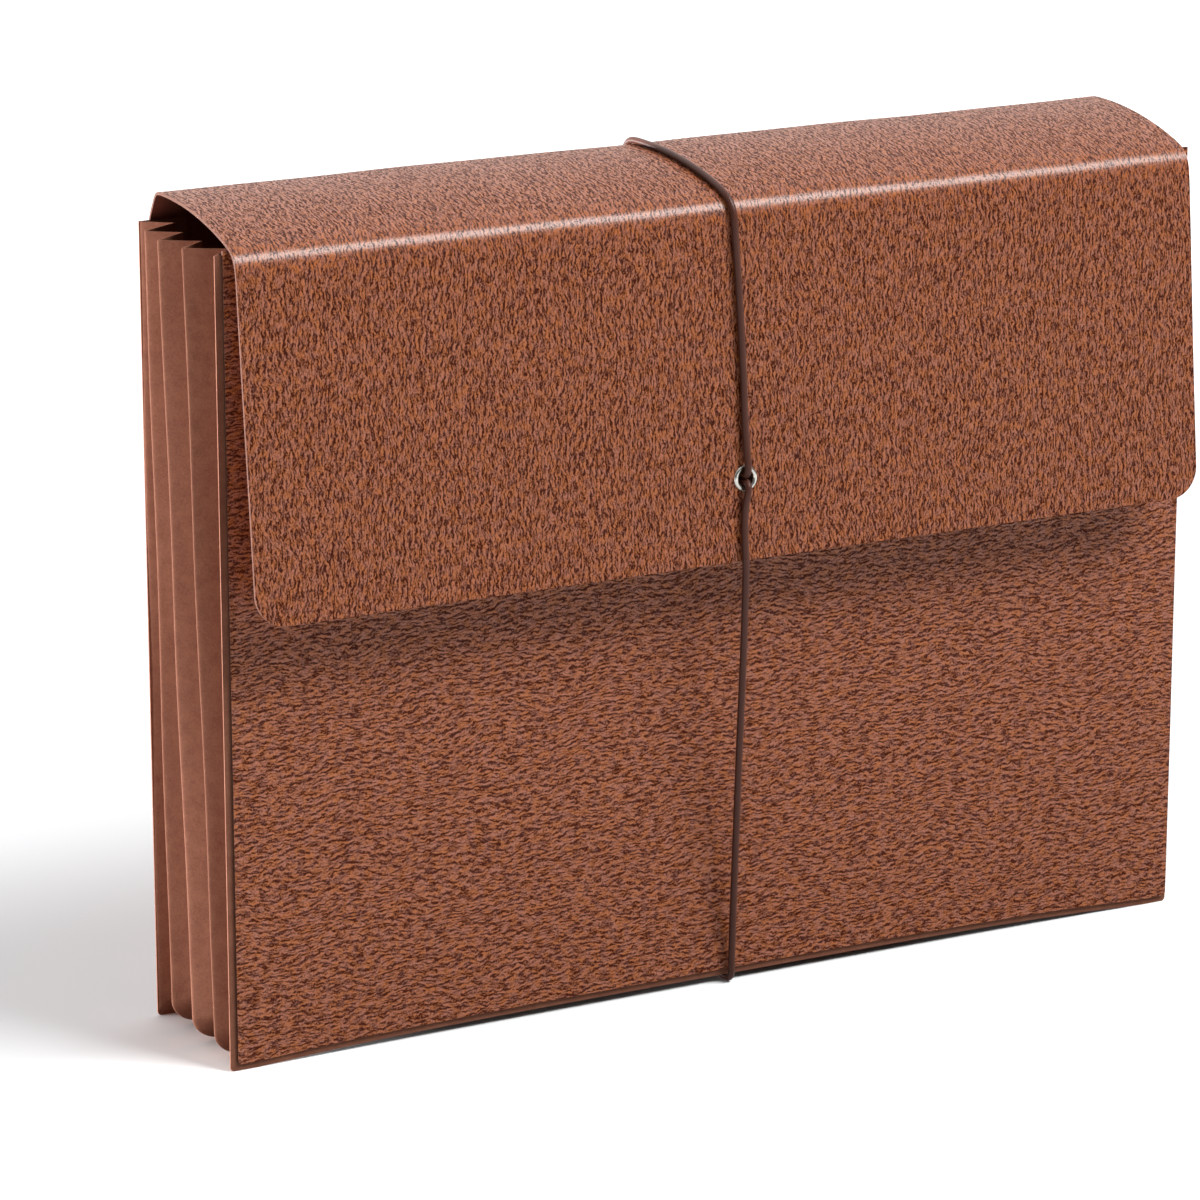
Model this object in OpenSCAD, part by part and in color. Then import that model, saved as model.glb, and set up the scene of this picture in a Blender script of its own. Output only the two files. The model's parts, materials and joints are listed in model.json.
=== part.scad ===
// Expanding file wallet for letter paper.
// Two grained board covers are joined by a paper gusset, folded in pleats that run
// down one side, along the bottom and up the other side. The back cover carries on
// over the top as a flap, and a loop of round elastic tied in an eyelet holds it shut.
// X runs across the wallet, Y from front to back and Z up. The origin is on the table,
// under the middle of the closed wallet.

/* [Wallet] */
// Width across the outer folds of the gusset
wallet_w = 304.8; // [270:0.2:400]
// Height of the front cover above the table
wallet_h = 228.6; // [180:0.2:280]
// Depth over both covers with the gusset pulled open
wallet_d = 52; // [40:0.5:80]

/* [Cover boards] */
// Thickness of the grained board
board_t = 0.8; // [0.5:0.1:1.6]
// How far the back cover and flap stop short of the gusset's folds, each side
sheet_inset = 3.4; // [1:0.2:8]
// Corner radius at the foot of the back cover
back_corner_r = 4; // [1:0.5:10]
// Bare gusset left of the front cover
front_inset_left = 2; // [0.5:0.1:6]
// Bare gusset right of the front cover
front_inset_right = 0.4; // [0.2:0.1:6]
// Bare gusset below the front cover
front_inset_foot = 2; // [0.5:0.1:6]
// Corner radius at the foot of the front cover
front_corner_r = 1; // [0.5:0.5:10]

/* [Top and flap] */
// How far the band of the back sheet above the gusset leans in
back_lean = 5; // [1:0.5:10]
// Height of the back fold above the front cover
fold_rise = 7.6; // [4:0.2:14]
// Rise of the top panel above a straight line from fold to crease
top_bulge = 2.8; // [1:0.1:6]
// How far the crease stands out in front of the front cover
crease_reach = 5; // [3:0.5:12]
// How far the crease lies below the front cover's top edge
crease_drop = 0.4; // [0:0.1:2]
// Drop of the flap below the crease
flap_drop = 99.2; // [70:0.2:150]
// How far the flap stands out between the crease and its lower edge
flap_flare = 9.5; // [4:0.5:20]
// Clearance between two stretches of the sheet where it is folded
fold_gap = 0.05; // [0.02:0.01:0.2]
// Radius of the flap's lower corners
flap_corner_r = 9; // [2:0.5:25]

/* [Gusset] */
// Thickness of the gusset paper
paper_t = 0.45; // [0.3:0.05:0.8]
// Width of the strips that are glued to the covers
flange_w = 14; // [8:0.5:25]
// Corner radius of the glued strips
strip_corner_r = 1.2; // [0.8:0.1:6]
// Width of the outer folds' rounded corners at the foot
fold_corner_w = 9; // [4:0.5:12]
// Height of the outer folds' rounded corners at the foot
fold_corner_h = 7; // [4:0.5:12]
// Corner radius of the inner folds
inner_fold_r = 2; // [1.5:0.1:4]
// Depth of each pleat from its outer folds to its inner fold
pleat_depth = 9; // [5:0.2:11]
// How far the middle folds swell out at the mouth
mouth_swell = 5.6; // [0:0.2:8]
// How far the middle folds swell out at the foot
foot_swell = 0.5; // [0:0.1:0.8]
// How far the first and last pleats close up at the foot, where the middle ones open
foot_spread = 2.2; // [0:0.1:3]
// Drop of the gusset's top edge below the front cover
gusset_drop = 1.2; // [1:0.1:6]
// Clearance of the pleats inside the outline of the glued strips
pleat_set = 0.3; // [0.1:0.1:1]
// Clearance of the pleats above the foot of the glued strips
pleat_lift = 1; // [0.9:0.1:2]

/* [Foot] */
// Length of the flat stretch under each lower corner of the back cover
back_land = 20; // [15:0.5:40]
// Length of the flat stretch under each lower corner of the gusset and the front cover
front_land = 8; // [5:0.5:40]
// Rise of the lower edges at mid-width, which leaves room for the elastic
foot_bow = 2.2; // [1.5:0.1:4]

/* [Eyelet and elastic] */
// Diameter of the eyelet over its front rim
eyelet_d = 7.4; // [6.6:0.1:10]
// Diameter of the eyelet's bore
eyelet_bore = 4.5; // [4.2:0.1:5]
// Wall of the eyelet's barrel
eyelet_wall = 0.35; // [0.2:0.05:0.5]
// Clearance round the barrel in the flap
eyelet_play = 0.05; // [0.02:0.01:0.1]
// Thickness of the curled rim behind the flap
eyelet_curl = 0.5; // [0.3:0.05:0.6]
// Eyelet's distance from the middle of the flap, to the right
eyelet_x = 0; // [-5:0.1:5]
// Eyelet's distance from the flap's lower edge
eyelet_up = 23; // [12:0.5:40]
// Diameter of the round elastic
cord_d = 2; // [1.2:0.1:2]
// Diameter of the knot behind the flap
knot_d = 5.6; // [5:0.1:7]
// Clearance between the knot and the eyelet's curl
knot_gap = 0.05; // [0.02:0.01:0.2]
// Length of the two ends that leave the knot
tail_len = 4; // [2:0.5:8]

/* [Hidden] */
$fn = 64;

// The gusset has this many pleats between the covers
pleats = 4;
// Facets of round stretches: arcs of an outline, the bowed foot, a pleat's upright side, the top panel
corner_steps = 8;
bow_steps = 16;
side_steps = 8;
top_panel_fn = 360;
cord_sides = 8;
cord_steps = 2;
// Length by which a cutting shape runs past what it cuts
past = 1;

// Planes of the covers and of the glued strips
half_d = wallet_d / 2;
half_w = wallet_w / 2;
sheet_w = wallet_w - 2 * sheet_inset;
gusset_top = wallet_h - gusset_drop;
gusset_half_d = half_d - board_t - paper_t;
back_land_x = half_w - back_land;
front_land_x = half_w - front_land;

// Half the difference of what stands out at the front and at the back centres the whole on the origin
centre_y = (crease_reach + flap_flare) / 2;

// Folds of the gusset are numbered from back to front: even ones lie outside, odd ones inside
folds = 2 * pleats;
fold_pitch = 2 * gusset_half_d / folds;
// Paper thickness measured square to the outline instead of square to the leaf
paper_across = paper_t * norm([pleat_depth, fold_pitch]) / fold_pitch;

// Corners of the cover sheet's outer face, in the plane of Y and Z
bend = [half_d, gusset_top + board_t / 2];
fold = [half_d - back_lean, wallet_h + fold_rise];
crease = [-half_d - crease_reach, wallet_h - crease_drop];
flap_len = norm([flap_flare, flap_drop]);
flap_tilt = atan2(flap_flare, flap_drop);

// The top panel is an arc from the fold to the crease
chord_len = norm(crease - fold);
chord_dir = unit(crease - fold);
top_r = (pow(chord_len / 2, 2) + pow(top_bulge, 2)) / (2 * top_bulge);
top_half_angle = asin(chord_len / (2 * top_r));
top_centre = (fold + crease) / 2 + inward(chord_dir) * (top_r - top_bulge);

// Inward normals of each stretch of the sheet, from the back cover round to the flap
back_in = [-1, 0];
lean_dir = unit(fold - bend);
lean_in = inward(lean_dir);
fold_in = inward(turned(chord_dir, -top_half_angle));
crease_in = inward(turned(chord_dir, top_half_angle));
flap_in = inward([-sin(flap_tilt), -cos(flap_tilt)]);
crease_mitre = board_t * tan(acos(crease_in * flap_in) / 2);

// Seats of the eyelet and the knot in the flap's own frame
eyelet_r = eyelet_bore / 2 + eyelet_wall;
eyelet_z = eyelet_up - flap_len;
knot_y = board_t + eyelet_curl + knot_gap;

// Route of the elastic: out of the eyelet, up the flap, over the top, down the back,
// under the foot and up the front to the eyelet again
route = [
    [0, -36.9, 152.8], [0, -38, 152.9], [0, -39.1, 153.1], [0, -39.9, 154.1],
    [0, -39.9, 155.7], [0, -39.3, 158.7], [0, -38.6, 162.6], [0.1, -36.8, 180],
    [-0.2, -34.9, 200], [-0.7, -33, 220], [-0.9, -32.4, 227.4], [-1, -32.1, 228.8],
    [-1.1, -31.2, 229.6], [-1.3, -29.4, 230.2], [-1.9, -20, 233.1], [-2.6, -10, 235.5],
    [-3.3, 0, 237], [-4, 10, 237.7], [-4.4, 19, 237.7], [-4.5, 21.4, 237.5],
    [-4.6, 22.4, 236.6], [-4.6, 24.6, 232.8], [-4.5, 26.6, 229.4], [-4.4, 27.2, 227],
    [-4.2, 27.3, 220], [-1, 27.3, 120], [2.4, 27.3, 6], [2.4, 27.3, 2.8],
    [2.4, 27.2, 1.8], [2.4, 26.6, 1.2], [2.4, 25.4, 1.1], [2.4, 23.4, 1.1],
    [2.8, 0, 1.1], [3, -22.8, 1.1], [3, -24.8, 1.1], [3, -26.2, 1.5],
    [3, -27, 2.6], [2.9, -27.4, 4.6], [2.8, -27.7, 8], [0.6, -34.8, 67],
    [-1.3, -41.3, 121], [-1.5, -41.8, 127], [-1.5, -41.7, 129.4], [-1.5, -41.2, 134.7],
    [-1.2, -40.5, 141.8], [-0.8, -40.5, 145.6], [-0.3, -40.6, 148.4], [-0.1, -40.3, 150],
    [0, -39.3, 150.8], [0, -38.2, 150.8], [0, -37.1, 150.7]
];

// A vector of length one
function unit(v) = v / norm(v);

// A vector in the plane, turned to the left by an angle
function turned(v, angle) =
    [v[0] * cos(angle) - v[1] * sin(angle), v[0] * sin(angle) + v[1] * cos(angle)];

// The way into the wallet from a stretch of sheet that runs along a direction
function inward(direction) = [-direction[1], direction[0]];

// Inner corner, for unit thickness, where two stretches with these inward normals meet
function mitre(a, b) = (a + b) / (1 + a * b);

// Points of an arc
function arc(centre, r, from, to) = [
    for (i = [0:corner_steps])
        let (angle = from + (to - from) * i / corner_steps)
        centre + r * [cos(angle), sin(angle)]
];

// Rise of a lower edge between its lands, steep near them and flat at mid-width
function bow(x, land_x) = abs(x) < land_x ? foot_bow * (1 - pow(x / land_x, 4)) : 0;

// Outline of a board that stands on two lands with a bowed edge between them
function board_outline(left, right, foot, top, r, land_x) = concat(
    arc([left + r, foot + r], r, 180, 270),
    [for (i = [0:bow_steps]) let (x = land_x * (2 * i / bow_steps - 1)) [x, foot + bow(x, land_x)]],
    arc([right - r, foot + r], r, 270, 360),
    [[right, top], [left, top]]
);

// Outline of the flap, below its crease
function flap_outline() = concat(
    arc([flap_corner_r - sheet_w / 2, flap_corner_r - flap_len], flap_corner_r, 180, 270),
    arc([sheet_w / 2 - flap_corner_r, flap_corner_r - flap_len], flap_corner_r, 270, 360),
    [[sheet_w / 2, 0], [-sheet_w / 2, 0]]
);

// How far a fold lies outside the gusset's outline, for a swell at mid-depth
function fold_out(i, swell) = swell * sin(180 * i / folds) - (i % 2) * pleat_depth;

// Width and height of a fold's corner at the foot: the first and last folds follow the glued strips
function fold_corner(i) =
    i % folds == 0 ? [strip_corner_r, strip_corner_r]
    : i % 2 == 0 ? [fold_corner_w, fold_corner_h]
    : [inner_fold_r, inner_fold_r];

// One edge of a leaf, from its left top end round the foot to its right top end.
// A point on it lies a distance inside the fold, to give the paper its thickness.
function rail(i, inside) =
    let (
        y = gusset_half_d - fold_pitch * i,
        y_foot = y + foot_spread * sin(360 * i / folds),
        corner_w = max(fold_corner(i)[0] - inside, inner_fold_r / 4),
        corner_h = max(fold_corner(i)[1] - inside, inner_fold_r / 4),
        out_top = fold_out(i, mouth_swell) - inside,
        out_foot = fold_out(i, foot_swell) - inside,
        x_top = half_w - pleat_set + out_top,
        x_foot = half_w - pleat_set + out_foot,
        z_foot = pleat_lift - out_foot,
        side = [
            for (s = [0:side_steps])
                let (f = s / side_steps)
                [
                    x_top + (x_foot - x_top) * f,
                    y + (y_foot - y) * f,
                    gusset_top + (z_foot + corner_h - gusset_top) * f
                ]
        ],
        corner = [
            for (s = [1:corner_steps - 1])
                let (angle = 90 * s / corner_steps)
                [
                    x_foot - corner_w * (1 - cos(angle)),
                    y_foot,
                    z_foot + corner_h * (1 - sin(angle))
                ]
        ],
        right = concat(side, corner),
        foot = [
            for (s = [0:bow_steps])
                let (x = (x_foot - corner_w) * (2 * s / bow_steps - 1))
                [x, y_foot, z_foot + bow(x, front_land_x)]
        ]
    )
    concat(
        [for (p = right) [-p[0], p[1], p[2]]],
        foot,
        [for (s = [len(right) - 1:-1:0]) right[s]]
    );

// Triangles between the rings of a swept shape, each ring with the same count of points
function swept_faces(rings, sides) = [
    for (s = [0:rings - 2], c = [0:sides - 1], half = [0:1])
        let (
            a = s * sides + c,
            b = s * sides + (c + 1) % sides,
            below = sides
        )
        half == 0 ? [a, b, b + below] : [a, b + below, a + below]
];

// Direction of the elastic at a point of its route, weighted to its shorter neighbour
function route_slope(i) =
    i == 0 ? unit(route[1] - route[0])
    : i == len(route) - 1 ? unit(route[i] - route[i - 1])
    : let (
        before = norm(route[i] - route[i - 1]),
        after = norm(route[i + 1] - route[i])
    )
    ((route[i] - route[i - 1]) * after / before + (route[i + 1] - route[i]) * before / after)
        / (before + after);

// A point on the smooth curve between two points of the route
function route_point(i, f) =
    let (span = norm(route[i + 1] - route[i]))
    (2 * pow(f, 3) - 3 * pow(f, 2) + 1) * route[i]
        + (pow(f, 3) - 2 * pow(f, 2) + f) * span * route_slope(i)
        + (3 * pow(f, 2) - 2 * pow(f, 3)) * route[i + 1]
        + (pow(f, 3) - pow(f, 2)) * span * route_slope(i + 1);

// Points of the elastic's centre line: short stretches need no point between their ends
function cord_line() = concat(
    [
        for (i = [0:len(route) - 2])
            let (steps = norm(route[i + 1] - route[i]) > 3 * cord_d ? cord_steps : 1)
            for (s = [0:steps - 1]) route_point(i, s / steps)
    ],
    [route[len(route) - 1]]
);

// A ring of points round the centre line, square to it
function cord_ring(line, i) =
    let (
        last = len(line) - 1,
        along = unit(line[min(i + 1, last)] - line[max(i - 1, 0)]),
        across = unit([1, 0, 0] - along * along[0]),
        third = cross(across, along)
    )
    [
        for (s = [0:cord_sides - 1])
            let (angle = 360 * s / cord_sides)
            line[i] + cord_d / 2 * (cos(angle) * across + sin(angle) * third)
    ];

// Puts the wallet's own middle where the whole object is centred on the origin
module placed() {
    translate([0, centre_y, 0]) children();
}

// Stands a flat outline up, with its front face at y
module standing(y, thickness) {
    translate([0, y + thickness, 0]) rotate([90, 0, 0]) linear_extrude(thickness) children();
}

// Carries a profile in the plane of Y and Z across the wallet
module across_wallet(width) {
    rotate([90, 0, 90]) linear_extrude(width, center = true) children();
}

// The flap's own frame: its origin on the crease, Y into the wallet and Z up the flap
module on_flap() {
    translate([0, crease[0], crease[1]]) rotate([-flap_tilt, 0, 0]) children();
}

// U-shaped end strip of the gusset, glued to the inner face of a cover
module glued_strip(y) {
    color("peru") standing(y, paper_t) difference() {
        polygon(board_outline(-half_w, half_w, 0, gusset_top, strip_corner_r, front_land_x));
        translate([flange_w - half_w, flange_w + foot_bow])
            square([wallet_w - 2 * flange_w, wallet_h]);
    }
}

// One pleat: two leaves that run from an outer fold in to the inner fold and out again
module pleat(number) {
    back = 2 * number - 2;
    rails = [
        rail(back, 0), rail(back + 1, 0), rail(back + 2, 0),
        rail(back + 2, paper_across), rail(back + 1, paper_across), rail(back, paper_across)
    ];
    sides = len(rails);
    rings = len(rails[0]);
    last = (rings - 1) * sides;
    left_end = [[5, 4, 1], [5, 1, 0], [4, 3, 2], [4, 2, 1]];
    right_end = [[0, 1, 4], [0, 4, 5], [1, 2, 3], [1, 3, 4]];
    color("sienna") polyhedron(
        points = [for (s = [0:rings - 1], c = [0:sides - 1]) rails[c][s]],
        faces = concat(
            left_end,
            swept_faces(rings, sides),
            [for (f = right_end) [for (i = f) last + i]]
        ),
        convexity = 10
    );
}

// Back cover: flat against the gusset, up to the bend where the gusset ends
module back_cover() {
    color("saddlebrown") intersection() {
        across_wallet(sheet_w) polygon([
            [half_d, 0], bend,
            bend + board_t * mitre(back_in, lean_in),
            [half_d - board_t, 0]
        ]);
        standing(0, wallet_d) polygon(
            board_outline(-sheet_w / 2, sheet_w / 2, 0, bend[1] + past, back_corner_r, back_land_x)
        );
    }
}

// Back band: the free stretch of the sheet that leans in from the bend to the back fold
module back_band() {
    from = bend + fold_gap * lean_dir;
    color("saddlebrown") across_wallet(sheet_w) polygon([
        from, fold,
        fold + board_t * mitre(lean_in, fold_in),
        from + board_t * mitre(back_in, lean_in)
    ]);
}

// Top panel: the arched stretch of the sheet between the back fold and the crease
module top_panel() {
    above = 2 * (top_bulge + board_t);
    below = 2 * board_t;
    at_fold = mitre(lean_in, fold_in);
    at_crease = mitre(crease_in, flap_in);
    from = fold + fold_gap * chord_dir;
    to = crease - fold_gap * chord_dir;
    color("saddlebrown") across_wallet(sheet_w) intersection() {
        translate(top_centre) difference() {
            circle(top_r, $fn = top_panel_fn);
            circle(top_r - board_t, $fn = top_panel_fn);
        }
        polygon([
            from - above * at_fold, to - above * at_crease,
            to + below * at_crease, from + below * at_fold
        ]);
    }
}

// Flap: hangs from the crease in front of the front cover, with rounded lower corners
module flap() {
    color("saddlebrown") on_flap() difference() {
        intersection() {
            across_wallet(sheet_w) polygon([
                [0, 0], [0, -flap_len], [board_t, -flap_len], [board_t, -crease_mitre]
            ]);
            standing(0, board_t) polygon(flap_outline());
        }
        translate([eyelet_x, -past, eyelet_z]) rotate([-90, 0, 0])
            cylinder(r = eyelet_r + eyelet_play, h = board_t + 2 * past);
    }
}

// Front cover: glued over the front strip, which shows at its left edge and its foot
module front_cover() {
    color("saddlebrown") standing(-half_d, board_t) polygon(board_outline(
        front_inset_left - half_w, half_w - front_inset_right,
        front_inset_foot, wallet_h, front_corner_r, front_land_x
    ));
}

module gusset_back_strip() {
    glued_strip(gusset_half_d);
}

module gusset_front_strip() {
    glued_strip(-gusset_half_d - paper_t);
}

// Eyelet: a barrel through the flap, with a domed rim in front and a curled rim behind
module eyelet() {
    rim_r = (eyelet_d / 2 - eyelet_bore / 2) / 2;
    rim_at = eyelet_bore / 2 + rim_r;
    color("silver") on_flap() translate([eyelet_x, 0, eyelet_z]) rotate([-90, 0, 0])
        rotate_extrude() {
            intersection() {
                translate([rim_at, 0]) circle(rim_r);
                translate([0, -eyelet_d]) square(eyelet_d);
            }
            translate([eyelet_bore / 2, 0]) square([eyelet_wall, board_t]);
            intersection() {
                translate([eyelet_bore / 2 + eyelet_curl, board_t]) circle(eyelet_curl);
                translate([0, board_t]) square(eyelet_d);
            }
        }
}

// Loop of round elastic, with both ends in the eyelet
module elastic_cord() {
    line = cord_line();
    last = (len(line) - 1) * cord_sides;
    color("#2b1d18") polyhedron(
        points = [for (i = [0:len(line) - 1]) each cord_ring(line, i)],
        faces = concat(
            [[for (c = [cord_sides - 1:-1:0]) c]],
            swept_faces(len(line), cord_sides),
            [[for (c = [0:cord_sides - 1]) last + c]]
        ),
        convexity = 10
    );
}

// Knot that keeps the elastic's ends behind the flap, with its two short tails
module cord_knot() {
    tail_spread = 25;
    color("#2b1d18") on_flap() translate([eyelet_x, knot_y, eyelet_z]) {
        intersection() {
            translate([0, knot_d / 3, 0]) sphere(d = knot_d);
            translate([-knot_d, 0, -knot_d]) cube(2 * knot_d);
        }
        for (side = [-1, 1])
            translate([0, knot_d / 3, 0]) rotate([180, side * tail_spread, 0])
                cylinder(d = cord_d, h = knot_d / 2 + tail_len);
    }
}

placed() back_cover();
placed() back_band();
placed() top_panel();
placed() flap();
placed() front_cover();
placed() gusset_back_strip();
placed() pleat(1);  // gusset_pleat_1
placed() pleat(2);  // gusset_pleat_2
placed() pleat(3);  // gusset_pleat_3
placed() pleat(4);  // gusset_pleat_4
placed() gusset_front_strip();
placed() eyelet();
placed() elastic_cord();
placed() cord_knot();
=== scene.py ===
"""Looks of an expanding file wallet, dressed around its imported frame.

The covers are varnished board with a printed and embossed leather grain, the gusset is matt
paper in four pleats, and a loop of round elastic through a nickel eyelet holds the flap shut.
Lengths are in metres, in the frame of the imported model: X runs across the wallet, Y from its
front to its back, and Z up.
"""

import json
import logging
import math
from dataclasses import dataclass, field
from enum import Enum
from typing import Any

import bpy
import numpy as np
from mathutils import Matrix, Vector
from numpy.typing import NDArray


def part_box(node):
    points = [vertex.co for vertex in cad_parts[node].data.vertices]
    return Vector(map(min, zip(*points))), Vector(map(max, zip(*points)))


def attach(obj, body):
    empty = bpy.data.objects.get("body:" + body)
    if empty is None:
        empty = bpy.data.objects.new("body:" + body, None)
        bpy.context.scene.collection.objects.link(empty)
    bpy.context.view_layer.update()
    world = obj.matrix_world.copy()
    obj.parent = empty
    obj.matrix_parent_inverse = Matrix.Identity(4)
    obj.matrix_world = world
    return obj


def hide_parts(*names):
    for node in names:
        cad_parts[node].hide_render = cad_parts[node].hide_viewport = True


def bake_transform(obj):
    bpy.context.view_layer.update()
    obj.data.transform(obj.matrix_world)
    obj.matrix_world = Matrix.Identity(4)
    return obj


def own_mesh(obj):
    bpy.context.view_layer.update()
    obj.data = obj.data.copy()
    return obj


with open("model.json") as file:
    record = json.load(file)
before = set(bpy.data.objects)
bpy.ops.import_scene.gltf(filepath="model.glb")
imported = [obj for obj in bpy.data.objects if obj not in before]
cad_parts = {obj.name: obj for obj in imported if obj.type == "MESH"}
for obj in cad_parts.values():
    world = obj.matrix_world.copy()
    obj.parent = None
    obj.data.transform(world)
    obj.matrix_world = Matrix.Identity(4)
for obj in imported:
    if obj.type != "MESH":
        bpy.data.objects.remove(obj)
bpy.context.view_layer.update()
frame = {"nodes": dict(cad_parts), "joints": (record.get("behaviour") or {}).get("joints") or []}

Array = NDArray[np.float64]
Inputs = dict[str | int, Any]
Material = bpy.types.Material
Node = bpy.types.Node
Piece = bpy.types.Object
Point = tuple[float, float, float]
Socket = bpy.types.NodeSocket
Span = tuple[float, float]
Tree = bpy.types.NodeTree

LOG = logging.getLogger("file_wallet")
MM = 0.001
# Direction across the wallet
ACROSS = np.array([1.0, 0, 0])
# Names of the UV map and of the attribute that the finishes read
PATTERN = "pattern"
FOLD_NEARNESS = "fold_nearness"
# Faces that meet at more than this angle keep a crisp edge
CRISP_EDGE = math.radians(38)
# Numbers of a Mix node's two colours and of the colour that it gives
MIX_A, MIX_B, MIX_RESULT = 6, 7, 2
# Level that noise swings about
NOISE_MIDDLE = 0.5

# Centre line of the elastic: out of the eyelet, up the flap, over the top, down the back,
# under the foot and up the front to the eyelet again
ELASTIC_ROUTE = (
    (0.0, -0.02965, 0.1528), (0.0, -0.03075, 0.1529), (0.0, -0.03185, 0.1531),
    (0.0, -0.03265, 0.1541), (0.0, -0.03265, 0.1557), (0.0, -0.03205, 0.1587),
    (0.0, -0.03135, 0.1626), (0.0001, -0.02955, 0.18), (-0.0002, -0.02765, 0.2),
    (-0.0007, -0.02575, 0.22), (-0.0009, -0.02515, 0.2274), (-0.001, -0.02485, 0.2288),
    (-0.0011, -0.02395, 0.2296), (-0.0013, -0.02215, 0.2302), (-0.0019, -0.01275, 0.2331),
    (-0.0026, -0.00275, 0.2355), (-0.0033, 0.00725, 0.237), (-0.004, 0.01725, 0.2377),
    (-0.0044, 0.02625, 0.2377), (-0.0045, 0.02865, 0.2375), (-0.0046, 0.02965, 0.2366),
    (-0.0046, 0.03185, 0.2328), (-0.0045, 0.03385, 0.2294), (-0.0044, 0.03445, 0.227),
    (-0.0042, 0.03455, 0.22), (-0.001, 0.03455, 0.12), (0.0024, 0.03455, 0.006),
    (0.0024, 0.03455, 0.0028), (0.0024, 0.03445, 0.0018), (0.0024, 0.03385, 0.0012),
    (0.0024, 0.03265, 0.0011), (0.0024, 0.03065, 0.0011), (0.0028, 0.00725, 0.0011),
    (0.003, -0.01555, 0.0011), (0.003, -0.01755, 0.0011), (0.003, -0.01895, 0.0015),
    (0.003, -0.01975, 0.0026), (0.0029, -0.02015, 0.0046), (0.0028, -0.02045, 0.008),
    (0.0006, -0.02755, 0.067), (-0.0013, -0.03405, 0.121), (-0.0015, -0.03455, 0.127),
    (-0.0015, -0.03445, 0.1294), (-0.0015, -0.03395, 0.1347), (-0.0012, -0.03325, 0.1418),
    (-0.0008, -0.03325, 0.1456), (-0.0003, -0.03335, 0.1484), (-0.0001, -0.03305, 0.15),
    (0.0, -0.03205, 0.1508), (0.0, -0.03095, 0.1508), (0.0, -0.02985, 0.1507),
)


class Side(Enum):
    """Sides of a sheet, each with its own material slot."""

    OUTER = 0
    INNER = 1
    EDGE = 2


class GrainRun(Enum):
    """Ways in which a board is cut from its grained stock."""

    UP_THE_SHEET = "up the sheet"
    ACROSS_THE_WALLET = "across the wallet"


def linear(hex_colour: str) -> tuple[float, float, float, float]:
    """Turn an sRGB hex colour into linear light.

    Args:
        hex_colour: six hex digits, red first.

    Returns:
        Linear red, green, blue and an alpha of one.
    """
    channels = np.array([int(hex_colour[i:i + 2], 16) for i in (0, 2, 4)]) / 255
    toe = channels / 12.92
    curve = ((channels + 0.055) / 1.055) ** 2.4
    red, green, blue = np.where(channels <= 0.04045, toe, curve)
    return float(red), float(green), float(blue), 1.0


def feed(tree: Tree, node: Node, inputs: Inputs) -> None:
    """Link a node's inputs to sockets, or set them to values.

    Args:
        tree: node tree that holds the node.
        node: the node.
        inputs: for each input's name or number, the socket to link or the value to set.
    """
    for key, value in inputs.items():
        if isinstance(value, Socket):
            tree.links.new(value, node.inputs[key])
        else:
            node.inputs[key].default_value = value


def add_node(
    tree: Tree, kind: str, inputs: Inputs | None = None, output: str | int = 0, **settings: Any
) -> Socket:
    """Add a node, set its properties, and link or set its inputs.

    Args:
        tree: node tree that gets the node.
        kind: the node's type name, without the prefix that all shader nodes share.
        inputs: for each input's name or number, the socket to link or the value to set.
        output: name or number of the output that is wanted.
        settings: properties of the node.

    Returns:
        The wanted output.
    """
    node = tree.nodes.new("ShaderNode" + kind)
    for name, value in settings.items():
        setattr(node, name, value)
    feed(tree, node, inputs or {})
    return node.outputs[output]


def new_material(name: str, sockets: Inputs) -> tuple[Material, Tree, Node]:
    """Make a material with a bare Principled shader.

    Args:
        name: the material's name.
        sockets: values of the shader's own sockets.

    Returns:
        The material, its node tree and its shader.
    """
    material = bpy.data.materials.new(name)
    material.use_nodes = True
    tree = material.node_tree
    shader = tree.nodes["Principled BSDF"]
    feed(tree, shader, sockets)
    return material, tree, shader


def unit(vectors: Array) -> Array:
    """Scale vectors, along the last axis, to length one."""
    return vectors / np.linalg.norm(vectors, axis=-1, keepdims=True)


def full_turn(count: int) -> Array:
    """Share a full turn into equal angles."""
    return np.linspace(0, 2 * math.pi, count, endpoint=False)


def length_along(points: Array) -> Array:
    """Measure the length along a line of points, from the first up to each of them."""
    return np.concatenate([[0], np.cumsum(np.linalg.norm(np.diff(points, axis=0), axis=1))])


def merged(*places: Any) -> Array:
    """Join places into one rising list, where those within a tenth of a micrometre are one."""
    return np.unique(np.concatenate(places).round(7))


def joint_point(name: str) -> Array:
    """Give the point of a joint's axis, in the plane of Y and Z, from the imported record."""
    joint = next(entry for entry in frame["joints"] if entry["name"] == name)
    return np.array(joint["pos_m"], float)[1:]


def box_middle(node: str) -> Array:
    """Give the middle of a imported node's box."""
    low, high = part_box(node)
    return np.array((low + high) / 2)


def link_object(name: str, data: Any) -> Piece:
    """Put a mesh, a lamp or a camera into the scene.

    Args:
        name: the object's name.
        data: what the object holds.

    Returns:
        The linked object, at the origin.
    """
    thing = bpy.data.objects.new(name, data)
    bpy.context.scene.collection.objects.link(thing)
    return thing


def turned(place: Array, right: Array, up: Array, back: Array) -> Matrix:
    """Make the matrix of a lamp or camera.

    Args:
        place: where it stands.
        right: direction of its own X.
        up: direction of its own Y.
        back: direction of its own Z.

    Returns:
        The matrix with those directions and that place as its columns.
    """
    matrix = np.eye(4)
    matrix[:3] = np.stack([right, up, back, place], axis=1)
    return Matrix(matrix.tolist())


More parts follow.
